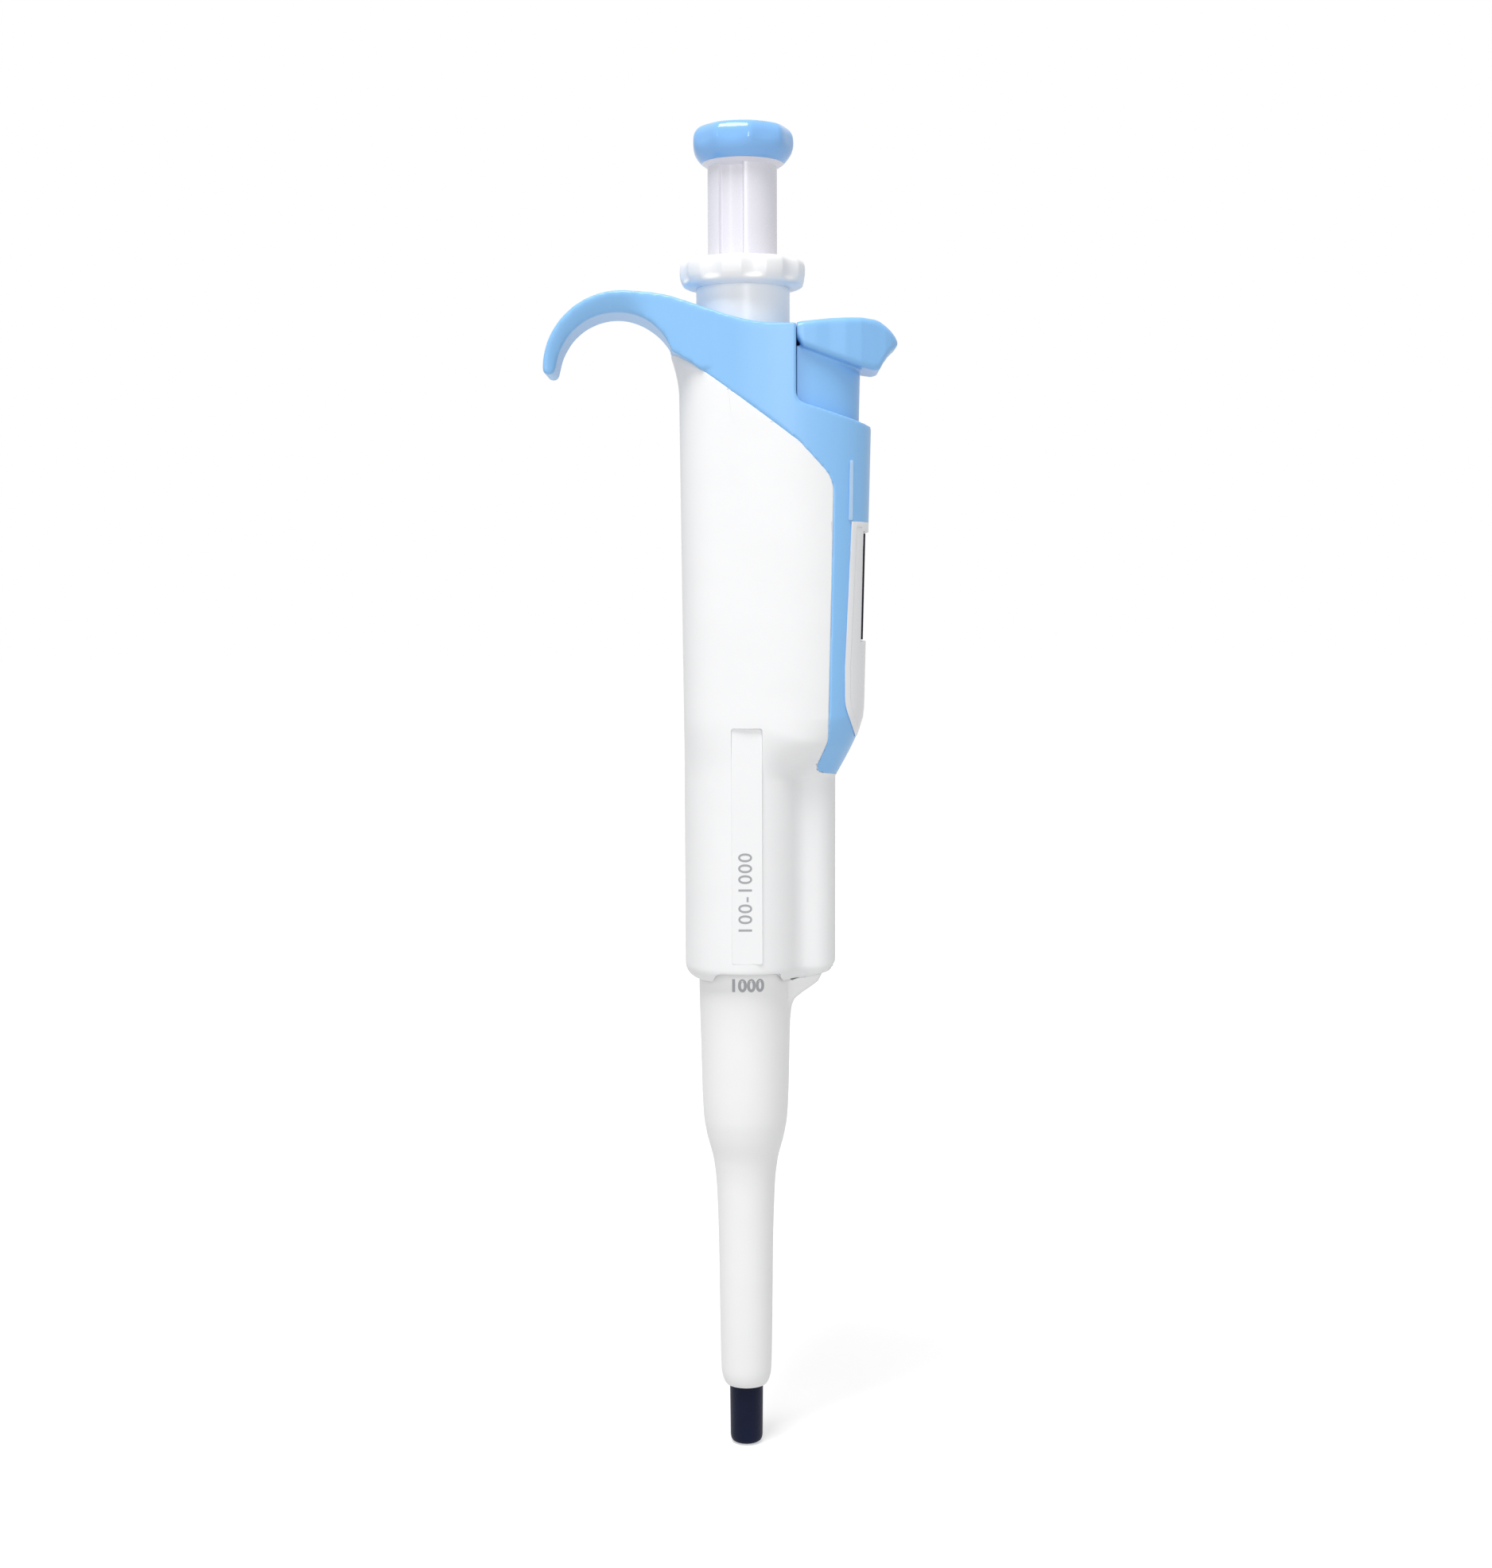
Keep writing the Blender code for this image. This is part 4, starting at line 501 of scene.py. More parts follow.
grip = body_form("grip")
combine(grip, side_prism("grip_parting", parting_line(0)), "INTERSECT")
take_out_works(grip)
web_z = body_foot + 0.0033
rod_x = 0.0122
rod_radius = 0.0011
spigot_radius = 0.0068
sleeve_radius = 0.00845
cut(grip, upright_rod("foot_bore", sleeve_radius + gap, body_foot - 0.01, web_z, points=72))
cut(grip, upright_rod("web_bore", spigot_radius + gap, web_z - 0.001, web_z + 0.003))
cut(grip, upright_rod("rod_hole", rod_radius + gap, body_foot - 0.01, web_z + 0.003, rod_x))
foot_line = rounded([
    (-0.0200, body_foot - 0.0100),
    (-0.0200, body_foot - 0.0002),
    (-0.0062, body_foot - 0.0002, 0.0014),
    (-0.0051, body_foot + 0.0020, 0.0014),
    (0.0060, body_foot + 0.0020, 0.0014),
    (0.0072, body_foot - 0.0002, 0.0016),
    (0.0084, body_foot - 0.0002, 0.0030),
    (0.0154, body_foot + 0.0015, 0.0014),
    (0.0200, body_foot + 0.0075),
    (0.0200, body_foot - 0.0100),
])
cut(grip, side_prism("foot_wave", foot_line))
cut(grip, side_prism("bezel_space", bezel_line(gap)))
label_low, label_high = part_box("label_insert")


def label_line(grow):
    """The label seen from the side, a little wider than its solid so that it nearly fills its recess."""
    left, right = label_low.x - 0.00025 - grow, label_high.x + 0.00025 + grow
    low, high = label_low.z - grow, label_high.z + 0.00025 + grow
    return rounded([(x, z, 0.0004) for x, z in ((left, low), (right, low), (right, high), (left, high))])


cut(grip, side_prism("label_recess", label_line(0.00001), -0.03, label_high.y + 0.0001))


def beside_label(place):
    """True within a little of the label's border."""
    return (place.y < 0 and label_low.x - 0.0006 < place.x < label_high.x + 0.0006
            and label_low.z - 0.0004 < place.z < label_high.z + 0.0006)


soften(grip, 0.00024, lambda place: on_body_skin(place) and not beside_label(place))
dress(grip, moulded_plastic("grip_white", (0.860, 0.865, 0.872), 0.46), "pipette_body", "handle_shell")


# Blue upper body
# Light blue moulded ABS, clipped over the grip's top: the finger hook behind, the pocket for the
# ejector's thumb piece in front, and a strip that runs down the front to the shoulder.
def remeshed(piece, voxel, passes, soft_place=None, soft_passes=0):
    """Skin the piece again in small even faces, so that every edge and inner corner is rounded."""
    skin = piece.modifiers.new("skin", "REMESH")
    skin.mode = "VOXEL"
    skin.voxel_size = voxel
    skin.use_smooth_shade = True
    settle(piece)
    if soft_place:
        group = piece.vertex_groups.new(name="soft")
        group.add([v.index for v in piece.data.vertices if soft_place(v.co)], 1.0, "REPLACE")
        soft = piece.modifiers.new("soft", "SMOOTH")
        soft.factor = 0.5
        soft.iterations = soft_passes
        soft.vertex_group = "soft"
    even = piece.modifiers.new("even", "SMOOTH")
    even.factor = 0.5
    even.iterations = passes
    settle(piece)
    piece.vertex_groups.clear()


hook_centre = Vector((-0.02265, body_top - 0.00835))
hook_outer = 0.0130
hook_inner = 0.01075


def around(centre, degrees, radius):
    """A point at a radius and an angle from a centre."""
    turn = math.radians(degrees)
    return centre + Vector((math.cos(turn), math.sin(turn))) * radius


def hook_line():
    """The finger hook seen from the side, with its root inside the body."""
    outline = [around(hook_centre, turn, hook_outer * (1 + 0.127 * i / 40))
               for i, turn in enumerate(steps_between(179, 78, 40))]
    for x, rise in ((-0.0165, 0.0057), (-0.0133, 0.0051), (-0.0105, 0.0042), (-0.0048, 0.0021)):
        outline.append(Vector((x, body_top + rise)))
    outline.append(Vector((-0.0048, hook_centre.y + 0.0010)))
    outline.append(Vector((-0.0112, hook_centre.y - 0.0005)))
    outline += [around(hook_centre, turn, hook_inner) for turn in steps_between(8, 167, 40)]
    middle = around(hook_centre, 175, (hook_inner + hook_outer) / 2 + 0.0001)
    return outline + [around(middle, -30 - i * 17.5, 0.00115) for i in range(9)]


def top_line():
    """What is cut away above the blue body, seen from the side."""
    return rounded([
        (-0.0300, body_top + 0.0020),
        (-0.0300, body_top + 0.0100),
        (0.0300, body_top + 0.0100),
        (0.0300, body_top),
        (0.0012, body_top, 0.0300),
        (-0.0100, body_top + 0.0041),
    ], 16)


blue_body = body_form("blue_body")
cut(blue_body, side_prism("top_cut", top_line()))
finger_hook = side_prism("finger_hook", hook_line(), -0.01, 0.01)
for vertex in finger_hook.data.vertices:
    share = (vertex.co.x + 0.0080) / (hook_centre.x - hook_outer + 0.0080)
    vertex.co.y = math.copysign(0.0100 + (0.0062 - 0.0100) * share, vertex.co.y)
edge = finger_hook.modifiers.new("edge", "BEVEL")
edge.width = 0.0009
edge.segments = 4
edge.limit_method = "ANGLE"
edge.angle_limit = math.radians(50)
settle(finger_hook)
combine(blue_body, finger_hook, "UNION")
cut(blue_body, side_prism("blue_parting", parting_line(-0.0001)))
take_out_works(blue_body)
pocket_line = rounded([
    (well_x, body_top + 0.0100),
    (well_x, body_top - 0.0135, 0.0020),
    (0.0300, body_top - 0.0197),
    (0.0300, body_top + 0.0100),
])
cut(blue_body, side_prism("pocket", pocket_line))
cut(blue_body, side_prism("blue_bezel_space", bezel_line(-0.0004)))


def near_top_edge(place):
    """True close to the blue body's upper edge and along the finger hook."""
    if place.x > 0.0088:
        return False
    slope = body_top + max(-place.x + 0.0012, 0) * 0.37
    return place.z > slope - 0.0012 or place.x < -0.0135


remeshed(blue_body, 0.00030, 3, near_top_edge, 14)
for vertex in blue_body.data.vertices:
    from_centre = (Vector((vertex.co.x, vertex.co.z)) - hook_centre).length
    thickness = 0.0024 + 0.0014 * held((vertex.co.x + 0.0340) / 0.0180)
    under = held((hook_inner + thickness - from_centre) / thickness)
    along_hook = eased(held((-0.0152 - vertex.co.x) / 0.0070))
    vertex.co.y *= 1 - 0.20 * under ** 1.5 * along_hook
dress(blue_body, moulded_plastic("body_blue", (0.245, 0.515, 0.865), 0.36), "pipette_body", "hook_body")


# Window bezel
# A light grey moulded frame pressed into the body's front: a raised rim runs round its face, and a
# thin rail above it joins it to the pocket. The window's seat is a flat cut across its front.
def proud_reach(proud):
    """The body's plan, raised at the sides by a little and flush at its front."""

    def at(angle, height, inset):
        out = body_reach(angle, height, inset)
        x = plan_centre + out * math.cos(angle)
        return out + proud * held((proud_end - x) / proud_fade)

    return at


proud_end = 0.0216
proud_fade = 0.0024
bezel_levels = levels_between(bezel_low - 0.004, bezel_high + 0.002, 24)
bezel = body_skin("bezel", bezel_levels, 240, proud_reach(0.00028))
combine(bezel, side_prism("bezel_sides", bezel_line(0)), "INTERSECT")
face = body_skin("face_space", [(height, -0.004) for height, inset in bezel_levels[1:-1]], 96)
combine(face, side_prism("face_sides", bezel_line(-0.0010)), "INTERSECT")
cut(face, body_skin("face_skin", bezel_levels, 240, proud_reach(0.00014)))
cut(bezel, face)
inside = body_skin("bezel_inside", [(bezel_low - 0.003, 0.0020), (bezel_high + 0.001, 0.0020)], 96)
within = box_between("inside_reach", (0, -0.02, bezel_low + 0.0030), (0.03, 0.02, bezel_high - 0.0010))
combine(inside, within, "INTERSECT")
cut(bezel, inside)
lens_depth = 0.00069
lens_thickness = 0.00041
seat_depth = lens_depth + lens_thickness + 0.00003


def body_front(height):
    return oval_front + front_lean * (height - oval_z)


cut(bezel, side_prism("lens_seat", [
    (body_front(window_low) - seat_depth, window_low), (0.03, window_low), (0.03, window_high),
    (body_front(window_high) - seat_depth, window_high)]))
window_half = 0.0031
cut(bezel, box_between("window_opening", (0.0100, -window_half, window_low + 0.0012),
                       (0.0300, window_half, window_high - 0.0012)))
soften(bezel, 0.00006, on_body_skin, 2)
dress(bezel, moulded_plastic("bezel_grey", (0.83, 0.835, 0.855), 0.36), "pipette_body", "window_bezel")

rail_line = rounded([
    (0.01862, bezel_high + 0.0002, 0.0002), (0.01942, bezel_high + 0.0002, 0.0002),
    (0.01952, bezel_high + 0.0108, 0.0004), (0.01887, bezel_high + 0.0108, 0.0004)])
rail = body_skin("window_rail", levels_between(bezel_high - 0.001, bezel_high + 0.014, 8), 240,
                 proud_reach(0.00025))
combine(rail, side_prism("rail_sides", rail_line), "INTERSECT")
cut(rail, body_skin("rail_core", levels_between(bezel_high - 0.002, bezel_high + 0.015, 8, 0.0008), 96))
soften(rail, 0.00008, on_body_skin, 2)
dress(rail, moulded_plastic("rail_blue", (0.46, 0.66, 0.90), 0.36), "pipette_body")


# Window
# A smoked clear moulding laid on the bezel's flat seat, its border printed black from behind.
lens_half = 0.0043
lens_corner = 0.0002
lens_crown = 0.00003
lens_rows = []
for z in steps_between(lens_low.z, lens_high.z, 12):
    front = body_front(z) - lens_depth
    corners = []
    for side, start in ((-1, -90), (1, 0)):
        for step in range(4):
            turn = math.radians(start + 30 * step)
            corners.append((front - lens_crown - lens_corner + lens_corner * math.cos(turn),
                            side * (lens_half - lens_corner) + lens_corner * math.sin(turn), z))
    crown = [(front - lens_crown * share ** 2, (lens_half - lens_corner) * share, z)
             for share in steps_between(-0.9, 0.9, 14)]
    back = [(front - lens_thickness, side * lens_half, z) for side in (1, -1)]
    lens_rows.append(back + corners[:4] + crown + corners[4:])


def shade_round(piece, sharp=40):
    """Smooth shading with crisp edges over an angle."""
    for polygon in piece.data.polygons:
        polygon.use_smooth = True
    piece.data.set_sharp_from_angle(angle=math.radians(sharp))


lens = closed_skin("lens", lens_rows)
shade_round(lens)
smoked, add, place = surface("smoked_window")
split = add("ShaderNodeSeparateXYZ", [(place, "Vector")]).outputs
beside = worked(add, "GREATER_THAN", worked(add, "ABSOLUTE", split["Y"]), window_half)
from_middle = worked(add, "SUBTRACT", split["Z"], (window_low + window_high) / 2)
clear_half = (window_high - window_low) / 2 - 0.0013
beyond = worked(add, "GREATER_THAN", worked(add, "ABSOLUTE", from_middle), clear_half)
border = worked(add, "MAXIMUM", beside, beyond)
cover = mapped(add, border, 0.05, 1.0)
dust = add("ShaderNodeTexNoise", [(place, "Vector")], Scale=900.0, Detail=2.0)
gloss = mapped(add, dust, 0.05, 0.12)
coated(add, [((0.006, 0.005, 0.016, 1), "Base Color"), (cover, "Alpha"), (gloss, "Roughness"),
             (0.15, "Specular IOR Level")])
dress(lens, smoked, "pipette_body", "window_lens")


# Label
# A matt white printed strip, glued into the long recess in the grip's side.
label = side_prism("label", label_line(0), label_low.y, label_high.y)
soften(label, 0.00006, lambda place: place.y < label_low.y + 0.0001, 2)
dress(label, moulded_plastic("label_white", (0.86, 0.865, 0.872), 0.55, 0.00012, 0.06, 0.01),
      "pipette_body", "label_insert")


def printed(name, words, size, bold=0.0, spacing=1.0):
    """Words as a thin solid print in the XY plane, centred on the origin."""
    curve = bpy.data.curves.new(name, "FONT")
    curve.body = words
    curve.size = size
    curve.offset = bold
    curve.space_character = spacing
    curve.align_x = "CENTER"
    curve.align_y = "CENTER"
    curve.extrude = 0.00001
    curve.resolution_u = 6
    text = new_object(name + "_text", curve)
    mesh = plain_mesh(text)
    bpy.data.objects.remove(text, do_unlink=True)
    work = bmesh.new()
    work.from_mesh(mesh)
    bmesh.ops.remove_doubles(work, verts=work.verts, dist=0.0000005)
    bmesh.ops.recalc_face_normals(work, faces=work.faces)
    work.to_mesh(mesh)
    work.free()
    mesh.name = name
    return new_object(name, mesh)


ink = moulded_plastic("grey_ink", (0.36, 0.37, 0.39), 0.5, 0.00008, 0.05, 0.06)
label_print = printed("label_print", "100-1000", 0.0035, 0.00002, 1.12)
read_upward = Matrix(((0, -1, 0, 0), (0, 0, -1, 0), (1, 0, 0, 0), (0, 0, 0, 1)))
middle = Vector(((label_low.x + label_high.x) / 2 - 0.0002, label_low.y - 0.00001, label_low.z + 0.0127))
label_print.data.transform(Matrix.Translation(middle) @ read_upward)
dress(label_print, ink, "pipette_body")


# Volume dial
# White moulded acetal: nine broad lobes to grip, and a plain neck that turns in the body's top.
ring_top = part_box("volume_ring")[1].z
ring_height = 0.00495
ring_bottom = ring_top - ring_height


def lobed(radius, valley, crest, share=1.0, crest_half=8.5):
    """Nine lobes: crests as wide as given in degrees each way, and hollows that meet them in an edge."""
    half_pitch = math.pi / 9
    flat_part = math.radians(crest_half)

    def at(angle):
        offset = abs((angle - crest + half_pitch) % (2 * half_pitch) - half_pitch)
        inward = max(offset - flat_part, 0) / (half_pitch - flat_part)
        return radius - valley * share * math.sin(inward * math.pi / 2)

    return at


stem_radius = 0.00627


def stem_plan(grow):
    """The button stem's plan: a circle with three shallow flat-floored grooves."""
    start = math.radians(249.5)
    half = math.radians(43.7) / 2

    def at(angle):
        offset = abs((angle - start + math.pi / 3) % (math.tau / 3) - math.pi / 3)
        floor_share = held((half - offset) / math.radians(1.3))
        return stem_radius + grow - 0.00065 * floor_share

    return at


ring_crest = math.radians(259.7)
ring_outline = [
    (0, 0.0027, 0), (0.01, 0.0022, 0), (0.05, 0.0012, 0), (0.10, 0.0007, 0), (0.16, 0.00048, 0.1),
    (0.22, 0.00034, 0.5), (0.29, 0.0002, 0.9), (0.36, 0.0001, 1), (0.50, 0.00002, 1), (0.62, 0, 1),
    (0.74, 0.00004, 1), (0.82, 0.00012, 1), (0.89, 0.00028, 1), (0.94, 0.00048, 0.95),
    (0.98, 0.00078, 0.9), (1, 0.0012, 0.8)]
ring_radius = 0.01135
ring_valley = 0.00062
dial = turned("dial", [
    (lobed(ring_radius - inset, ring_valley, ring_crest, depth), ring_bottom + ring_height * share)
    for share, inset, depth in ring_outline], 360)
neck_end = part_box("screw_sleeve")[1].z + gap
groove_radius = 0.0069
groove_low = body_top - 0.00625
groove_high = groove_low + 0.0009
neck = turned("dial_neck", [
    (neck_radius, neck_end), (neck_radius, groove_low), (groove_radius, groove_low),
    (groove_radius, groove_high), (neck_radius, groove_high), (neck_radius, collar_z),
    (collar_radius, collar_z), (collar_radius, ring_bottom + 0.0010)], 144)
combine(dial, neck, "UNION")
bore_plan = stem_plan(gap)
cut(dial, turned("dial_bore", [(bore_plan, neck_end - 0.004), (bore_plan, ring_top + 0.001)], 216))
soften(dial, 0.00018, lambda place: (
    place.z > ring_bottom - 0.001 and math.hypot(place.x, place.y) < neck_radius - 0.0001))
dress(dial, moulded_plastic("dial_white", (0.865, 0.87, 0.885), 0.32), "dial", "volume_ring")


# Button stem
# Pale lavender acetal, drawn out as one long bar with three grooves that the dial's keys run in.
cap_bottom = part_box("button_cap")[0].z - gap
cap_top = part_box("button_cap")[1].z
stem_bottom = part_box("button_stem")[0].z
flange = cap_bottom - 0.0005
stem = turned("stem", [
    (stem_plan(-0.0003), stem_bottom), (stem_plan(0), stem_bottom + 0.0003),
    (stem_plan(0), flange - 0.0004), (stem_radius, flange - 0.00005), (0.0067, flange + 0.0002),
    (0.0073, cap_bottom + 0.0001)], 288)
joint_radius = 0.0035
joint_top = cap_bottom + 0.0034
combine(stem, upright_rod("stem_end", joint_radius, cap_bottom - 0.001, joint_top), "UNION")
cut(stem, upright_rod("stem_socket", 0.0020 + gap, stem_bottom - 0.001, stem_bottom + 0.0120))
shade_round(stem, 30)
dress(stem, moulded_plastic("stem_lavender", (0.775, 0.765, 0.83), 0.26), "plunger", "button_stem")


# Operating button
# Light blue glossy plastic pressed on the stem: nine shallow hollows round its rim, rounded into a
# chamfer below and into the slightly dished top.
cap_crest = math.radians(278.1)
cap_valley = 0.00042
cap_side = [
    (0.00012, 0.00730, 0), (0.0003, 0.00752, 0), (0.0006, 0.00782, 0.05), (0.0010, 0.00816, 0.1),
    (0.0015, 0.00852, 0.2), (0.0020, 0.00878, 0.35), (0.0026, 0.00898, 0.55), (0.0032, 0.00908, 0.8),
    (0.0038, 0.00910, 1), (0.0044, 0.00906, 1), (0.0049, 0.00896, 1)]
cap_edge = [
    (0.0010, 0.00878, 1), (0.0006, 0.00850, 0.9), (0.0003, 0.00818, 0.7), (0.0001, 0.00785, 0.4),
    (0, 0.0075, 0.2)]
cap_rows = [(cap_bottom + rise, radius, share) for rise, radius, share in cap_side]
cap_rows += [(cap_top - drop, radius, share) for drop, radius, share in cap_edge]
cap = turned("button", [
    (lobed(radius, cap_valley, cap_crest, share, 2.5), height) for height, radius, share in cap_rows], 360)
cut(cap, turned("cap_dish", [
    (0.0002, cap_top - 0.0004), (0.0036, cap_top - 0.00036), (0.0052, cap_top - 0.0002), (0.0060, cap_top),
    (0.0062, cap_top + 0.001)]))
cut(cap, upright_rod("cap_socket", joint_radius + gap, cap_bottom - 0.001, joint_top + gap))
shade_round(cap, 48)
dress(cap, moulded_plastic("button_blue", (0.215, 0.470, 0.860), 0.15, 0.0004, 0.04),
      "plunger", "button_cap")


# Ejector's thumb piece
# The same blue plastic: a lip that overhangs its pocket, on a stem that slides in the body's well.
stem_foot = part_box("ejector_button")[0].z
lip_start = well_x + 0.00012
thumb = body_skin("thumb_piece", levels_between(stem_foot, body_top - 0.0038, 8, upper_wall + gap))
combine(thumb, box_between("thumb_front", (lip_start, -0.02, 0), (0.03, 0.02, 0.4)), "INTERSECT")
lip_edge = 0.0011
lip_half = 0.0104
lip_length = 0.0182
lip_stations = [
    (0.000, -0.0025, 0.0002, 0), (0.060, -0.0041, 0.0004, 0), (0.190, -0.0049, 0.0007, 0.0004),
    (0.320, -0.0057, 0.0010, 0.0010), (0.480, -0.0066, 0.0012, 0.0015), (0.630, -0.0074, 0.0013, 0.0024),
    (0.760, -0.0079, 0.0011, 0.0037), (0.815, -0.0077, 0.0008, 0.0043), (0.875, -0.0057, 0.0001, 0.0049),
    (0.930, -0.0044, -0.0007, 0.0057), (0.975, -0.0037, -0.0016, 0.0066), (1, -0.0031, -0.0025, 0.0076)]
lip_rows = []
for share, low, high, narrowing in lip_stations:
    half = lip_half - narrowing
    edge_size = min(lip_edge, (high - low) * 0.45)
    row = []
    for quarter, (side, height) in enumerate(((1, high), (-1, high), (-1, low), (1, low))):
        for step in range(7):
            turn = math.pi / 2 * (quarter + step / 6)
            lift = edge_size if height == low else -edge_size
            y = side * (half - edge_size) + edge_size * math.cos(turn)
            z = body_top + height + lift + edge_size * math.sin(turn)
            row.append((lip_start + lip_length * share, y, z))
    lip_rows.append(row)
combine(thumb, closed_skin("thumb_lip", lip_rows), "UNION")
cut(thumb, upright_rod("thumb_socket", rod_radius + 0.0001, stem_foot - 0.001, stem_foot + 0.006,
                       0.0110, 0.0074))
remeshed(thumb, 0.00022, 4)
dress(thumb, moulded_plastic("thumb_blue", (0.235, 0.505, 0.865), 0.36), "ejector", "ejector_button")


# Ejector sleeve
# A thin white polypropylene cone round the lower housing, with a wing that the ejector's rod pushes.
sleeve_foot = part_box("ejector_sleeve")[0].z
sleeve_top = body_foot + 0.0027
knee = body_foot - 0.0260
sleeve_shape = {
    sleeve_foot: ((0.0046, 0), (0.00430, 0.0005), (0.00400, 0.0014), (0.0038, 0.0028), (0.0036, 0.0120)),
    knee: ((0.0034, -0.0235), (0.00305, -0.0130), (0.00255, -0.0083), (0.0013, -0.0033), (0.00075, 0),
           (0.0005, 0.0045), (0.0003, 0.0130)),
    body_foot: ((0, 0), (0, sleeve_top - body_foot)),
}
sleeve_profile = [(sleeve_radius - slimmer, level + rise)
                  for level, points in sleeve_shape.items() for slimmer, rise in points]


def smooth_profile(points, spacing):
    """A smooth curve through (radius, height) points, as radii at evenly rising heights."""
    heights = [p[1] for p in points]
    count = max(int((heights[-1] - heights[0]) / spacing), 2)
    slopes = [(b[0] - a[0]) / (b[1] - a[1]) for a, b in zip(points, points[1:])]
    tangents = [slopes[0]]
    for before, after in zip(slopes, slopes[1:]):
        steep = before * after > 0
        tangents.append(2 * before * after / (before + after) if steep else 0.0)
    tangents.append(slopes[-1])
    made = []
    for z in steps_between(heights[0], heights[-1], count):
        i = max(k for k in range(len(points) - 1) if heights[k] <= z + 1e-12)
        span = heights[i + 1] - heights[i]
        t = (z - heights[i]) / span
        radius = (points[i][0] * (2 * t ** 3 - 3 * t ** 2 + 1)
                  + tangents[i] * span * (t ** 3 - 2 * t ** 2 + t)
                  + points[i + 1][0] * (3 * t ** 2 - 2 * t ** 3)
                  + tangents[i + 1] * span * (t ** 3 - t ** 2))
        made.append((radius, z))
    return made


wing_half = 0.0030
wing_line = [(sleeve_radius + out, body_foot + rise) for out, rise in (
    (-0.0006, -0.0075), (-0.0001, -0.0054), (0.0006, -0.0038), (0.0021, -0.0026), (0.0040, -0.0013),
    (0.0050, -0.0005), (0.0056, 0.0007))]


def sleeve_reach(radius, z, angle):
    """The sleeve's plan: a circle, and near +X the wing that grows out of it."""
    if z <= wing_line[0][1] or math.cos(angle) <= 0:
        return radius
    index = max(k for k in range(len(wing_line) - 1) if wing_line[k][1] <= z)
    (r0, z0), (r1, z1) = wing_line[index], wing_line[index + 1]
    fin = r0 + (r1 - r0) * min((z - z0) / (z1 - z0), 1)
    out = (abs(math.cos(angle) / fin) ** 8 + abs(math.sin(angle) / wing_half) ** 8) ** (-1 / 8)
    big, small = max(out, radius), min(out, radius)
    return big * (1 + (small / big) ** 30) ** (1 / 30)


sleeve_angles = crowded(224, 0, 0.35)
sleeve = closed_skin("sleeve", [
    row_at(z, sleeve_angles, lambda a: sleeve_reach(radius, z, a))
    for radius, z in smooth_profile(sleeve_profile, 0.0004)])
wing_slope = rounded([
    (sleeve_radius - 0.0003, body_foot + 0.0100),
    (sleeve_radius - 0.0003, body_foot - 0.0002, 0.0003),
    (0.0200, body_foot + 0.0029),
    (0.0200, body_foot + 0.0100),
])
trim = side_prism("wing_trim", wing_slope)
cut(trim, upright_rod("sleeve_keep", sleeve_radius + 0.0001, body_foot - 0.01, body_foot + 0.02,
                      points=96))
cut(sleeve, trim)
sleeve_wall = 0.00075
bore_rows = smooth_profile([(radius - sleeve_wall, z) for radius, z in sleeve_profile[3:]], 0.0015)[1:]
bore_rows = [(0.0034, sleeve_foot - 0.001), (0.0036, sleeve_foot + 0.0026)] + bore_rows
bore_rows.append((sleeve_radius - sleeve_wall, sleeve_top + 0.001))
cut(sleeve, turned("sleeve_bore", bore_rows))
cut(sleeve, upright_rod("wing_socket", rod_radius + gap, body_foot, body_foot + 0.01, rod_x))
soften(sleeve, 0.00022, lambda place: math.hypot(place.x, place.y) > sleeve_radius + 0.0003, 3, 40)
dress(sleeve, moulded_plastic("sleeve_white", (0.872, 0.872, 0.874), 0.45), "ejector", "ejector_sleeve")

volume_mark = printed("volume_mark", "1000", 0.0031, 0.00012, 1.04)
mark_z = body_foot - 0.0004
mark_angle = math.radians(-90) + 0.0003 / sleeve_radius
for vertex in volume_mark.data.vertices:
    out = sleeve_radius + 0.00001 + vertex.co.z
    angle = mark_angle + vertex.co.x / sleeve_radius
    vertex.co = (out * math.cos(angle), out * math.sin(angle), mark_z + vertex.co.y)
dress(volume_mark, ink, "ejector")


# Lower housing
# Dark navy moulded plastic: the cylinder, and below the sleeve the nozzle that takes the tip.
housing_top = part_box("lower_housing")[1].z
seal_z = body_foot - 0.0024
cylinder_floor = body_foot - 0.0259
nose = 0.0030
cylinder_outer = 0.0063
cylinder_inner = 0.00495 + gap
thread_low = web_z - gap - 0.0044
thread_radius = 0.0074
housing = turned("housing", [
    (nose - 0.0009, 0), (nose - 0.00055, 0.00007), (nose - 0.00028, 0.00026), (nose - 0.0001, 0.0006),
    (nose, 0.0012), (nose + 0.0001, sleeve_foot), (nose + 0.0006, sleeve_foot + 0.0160),
    (0.0041, cylinder_floor - 0.0110), (cylinder_outer, cylinder_floor), (cylinder_outer, thread_low),
    (thread_radius, thread_low), (thread_radius, web_z - gap), (spigot_radius, web_z - gap),
    (spigot_radius, housing_top)])
air_channel = 0.0007
cut(housing, turned("housing_bore", [
    (air_channel, -0.001), (air_channel, cylinder_floor - 0.0030), (cylinder_inner, cylinder_floor),
    (cylinder_inner, seal_z), (0.0061, seal_z), (0.0061, housing_top + 0.001)], 64))
shade_round(housing, 35)
housing_navy = moulded_plastic("housing_navy", (0.0065, 0.0095, 0.030), 0.45, 0.00022, 0.9, 0.45, 0.10)
dress(housing, housing_navy, "pipette_body", "lower_housing")


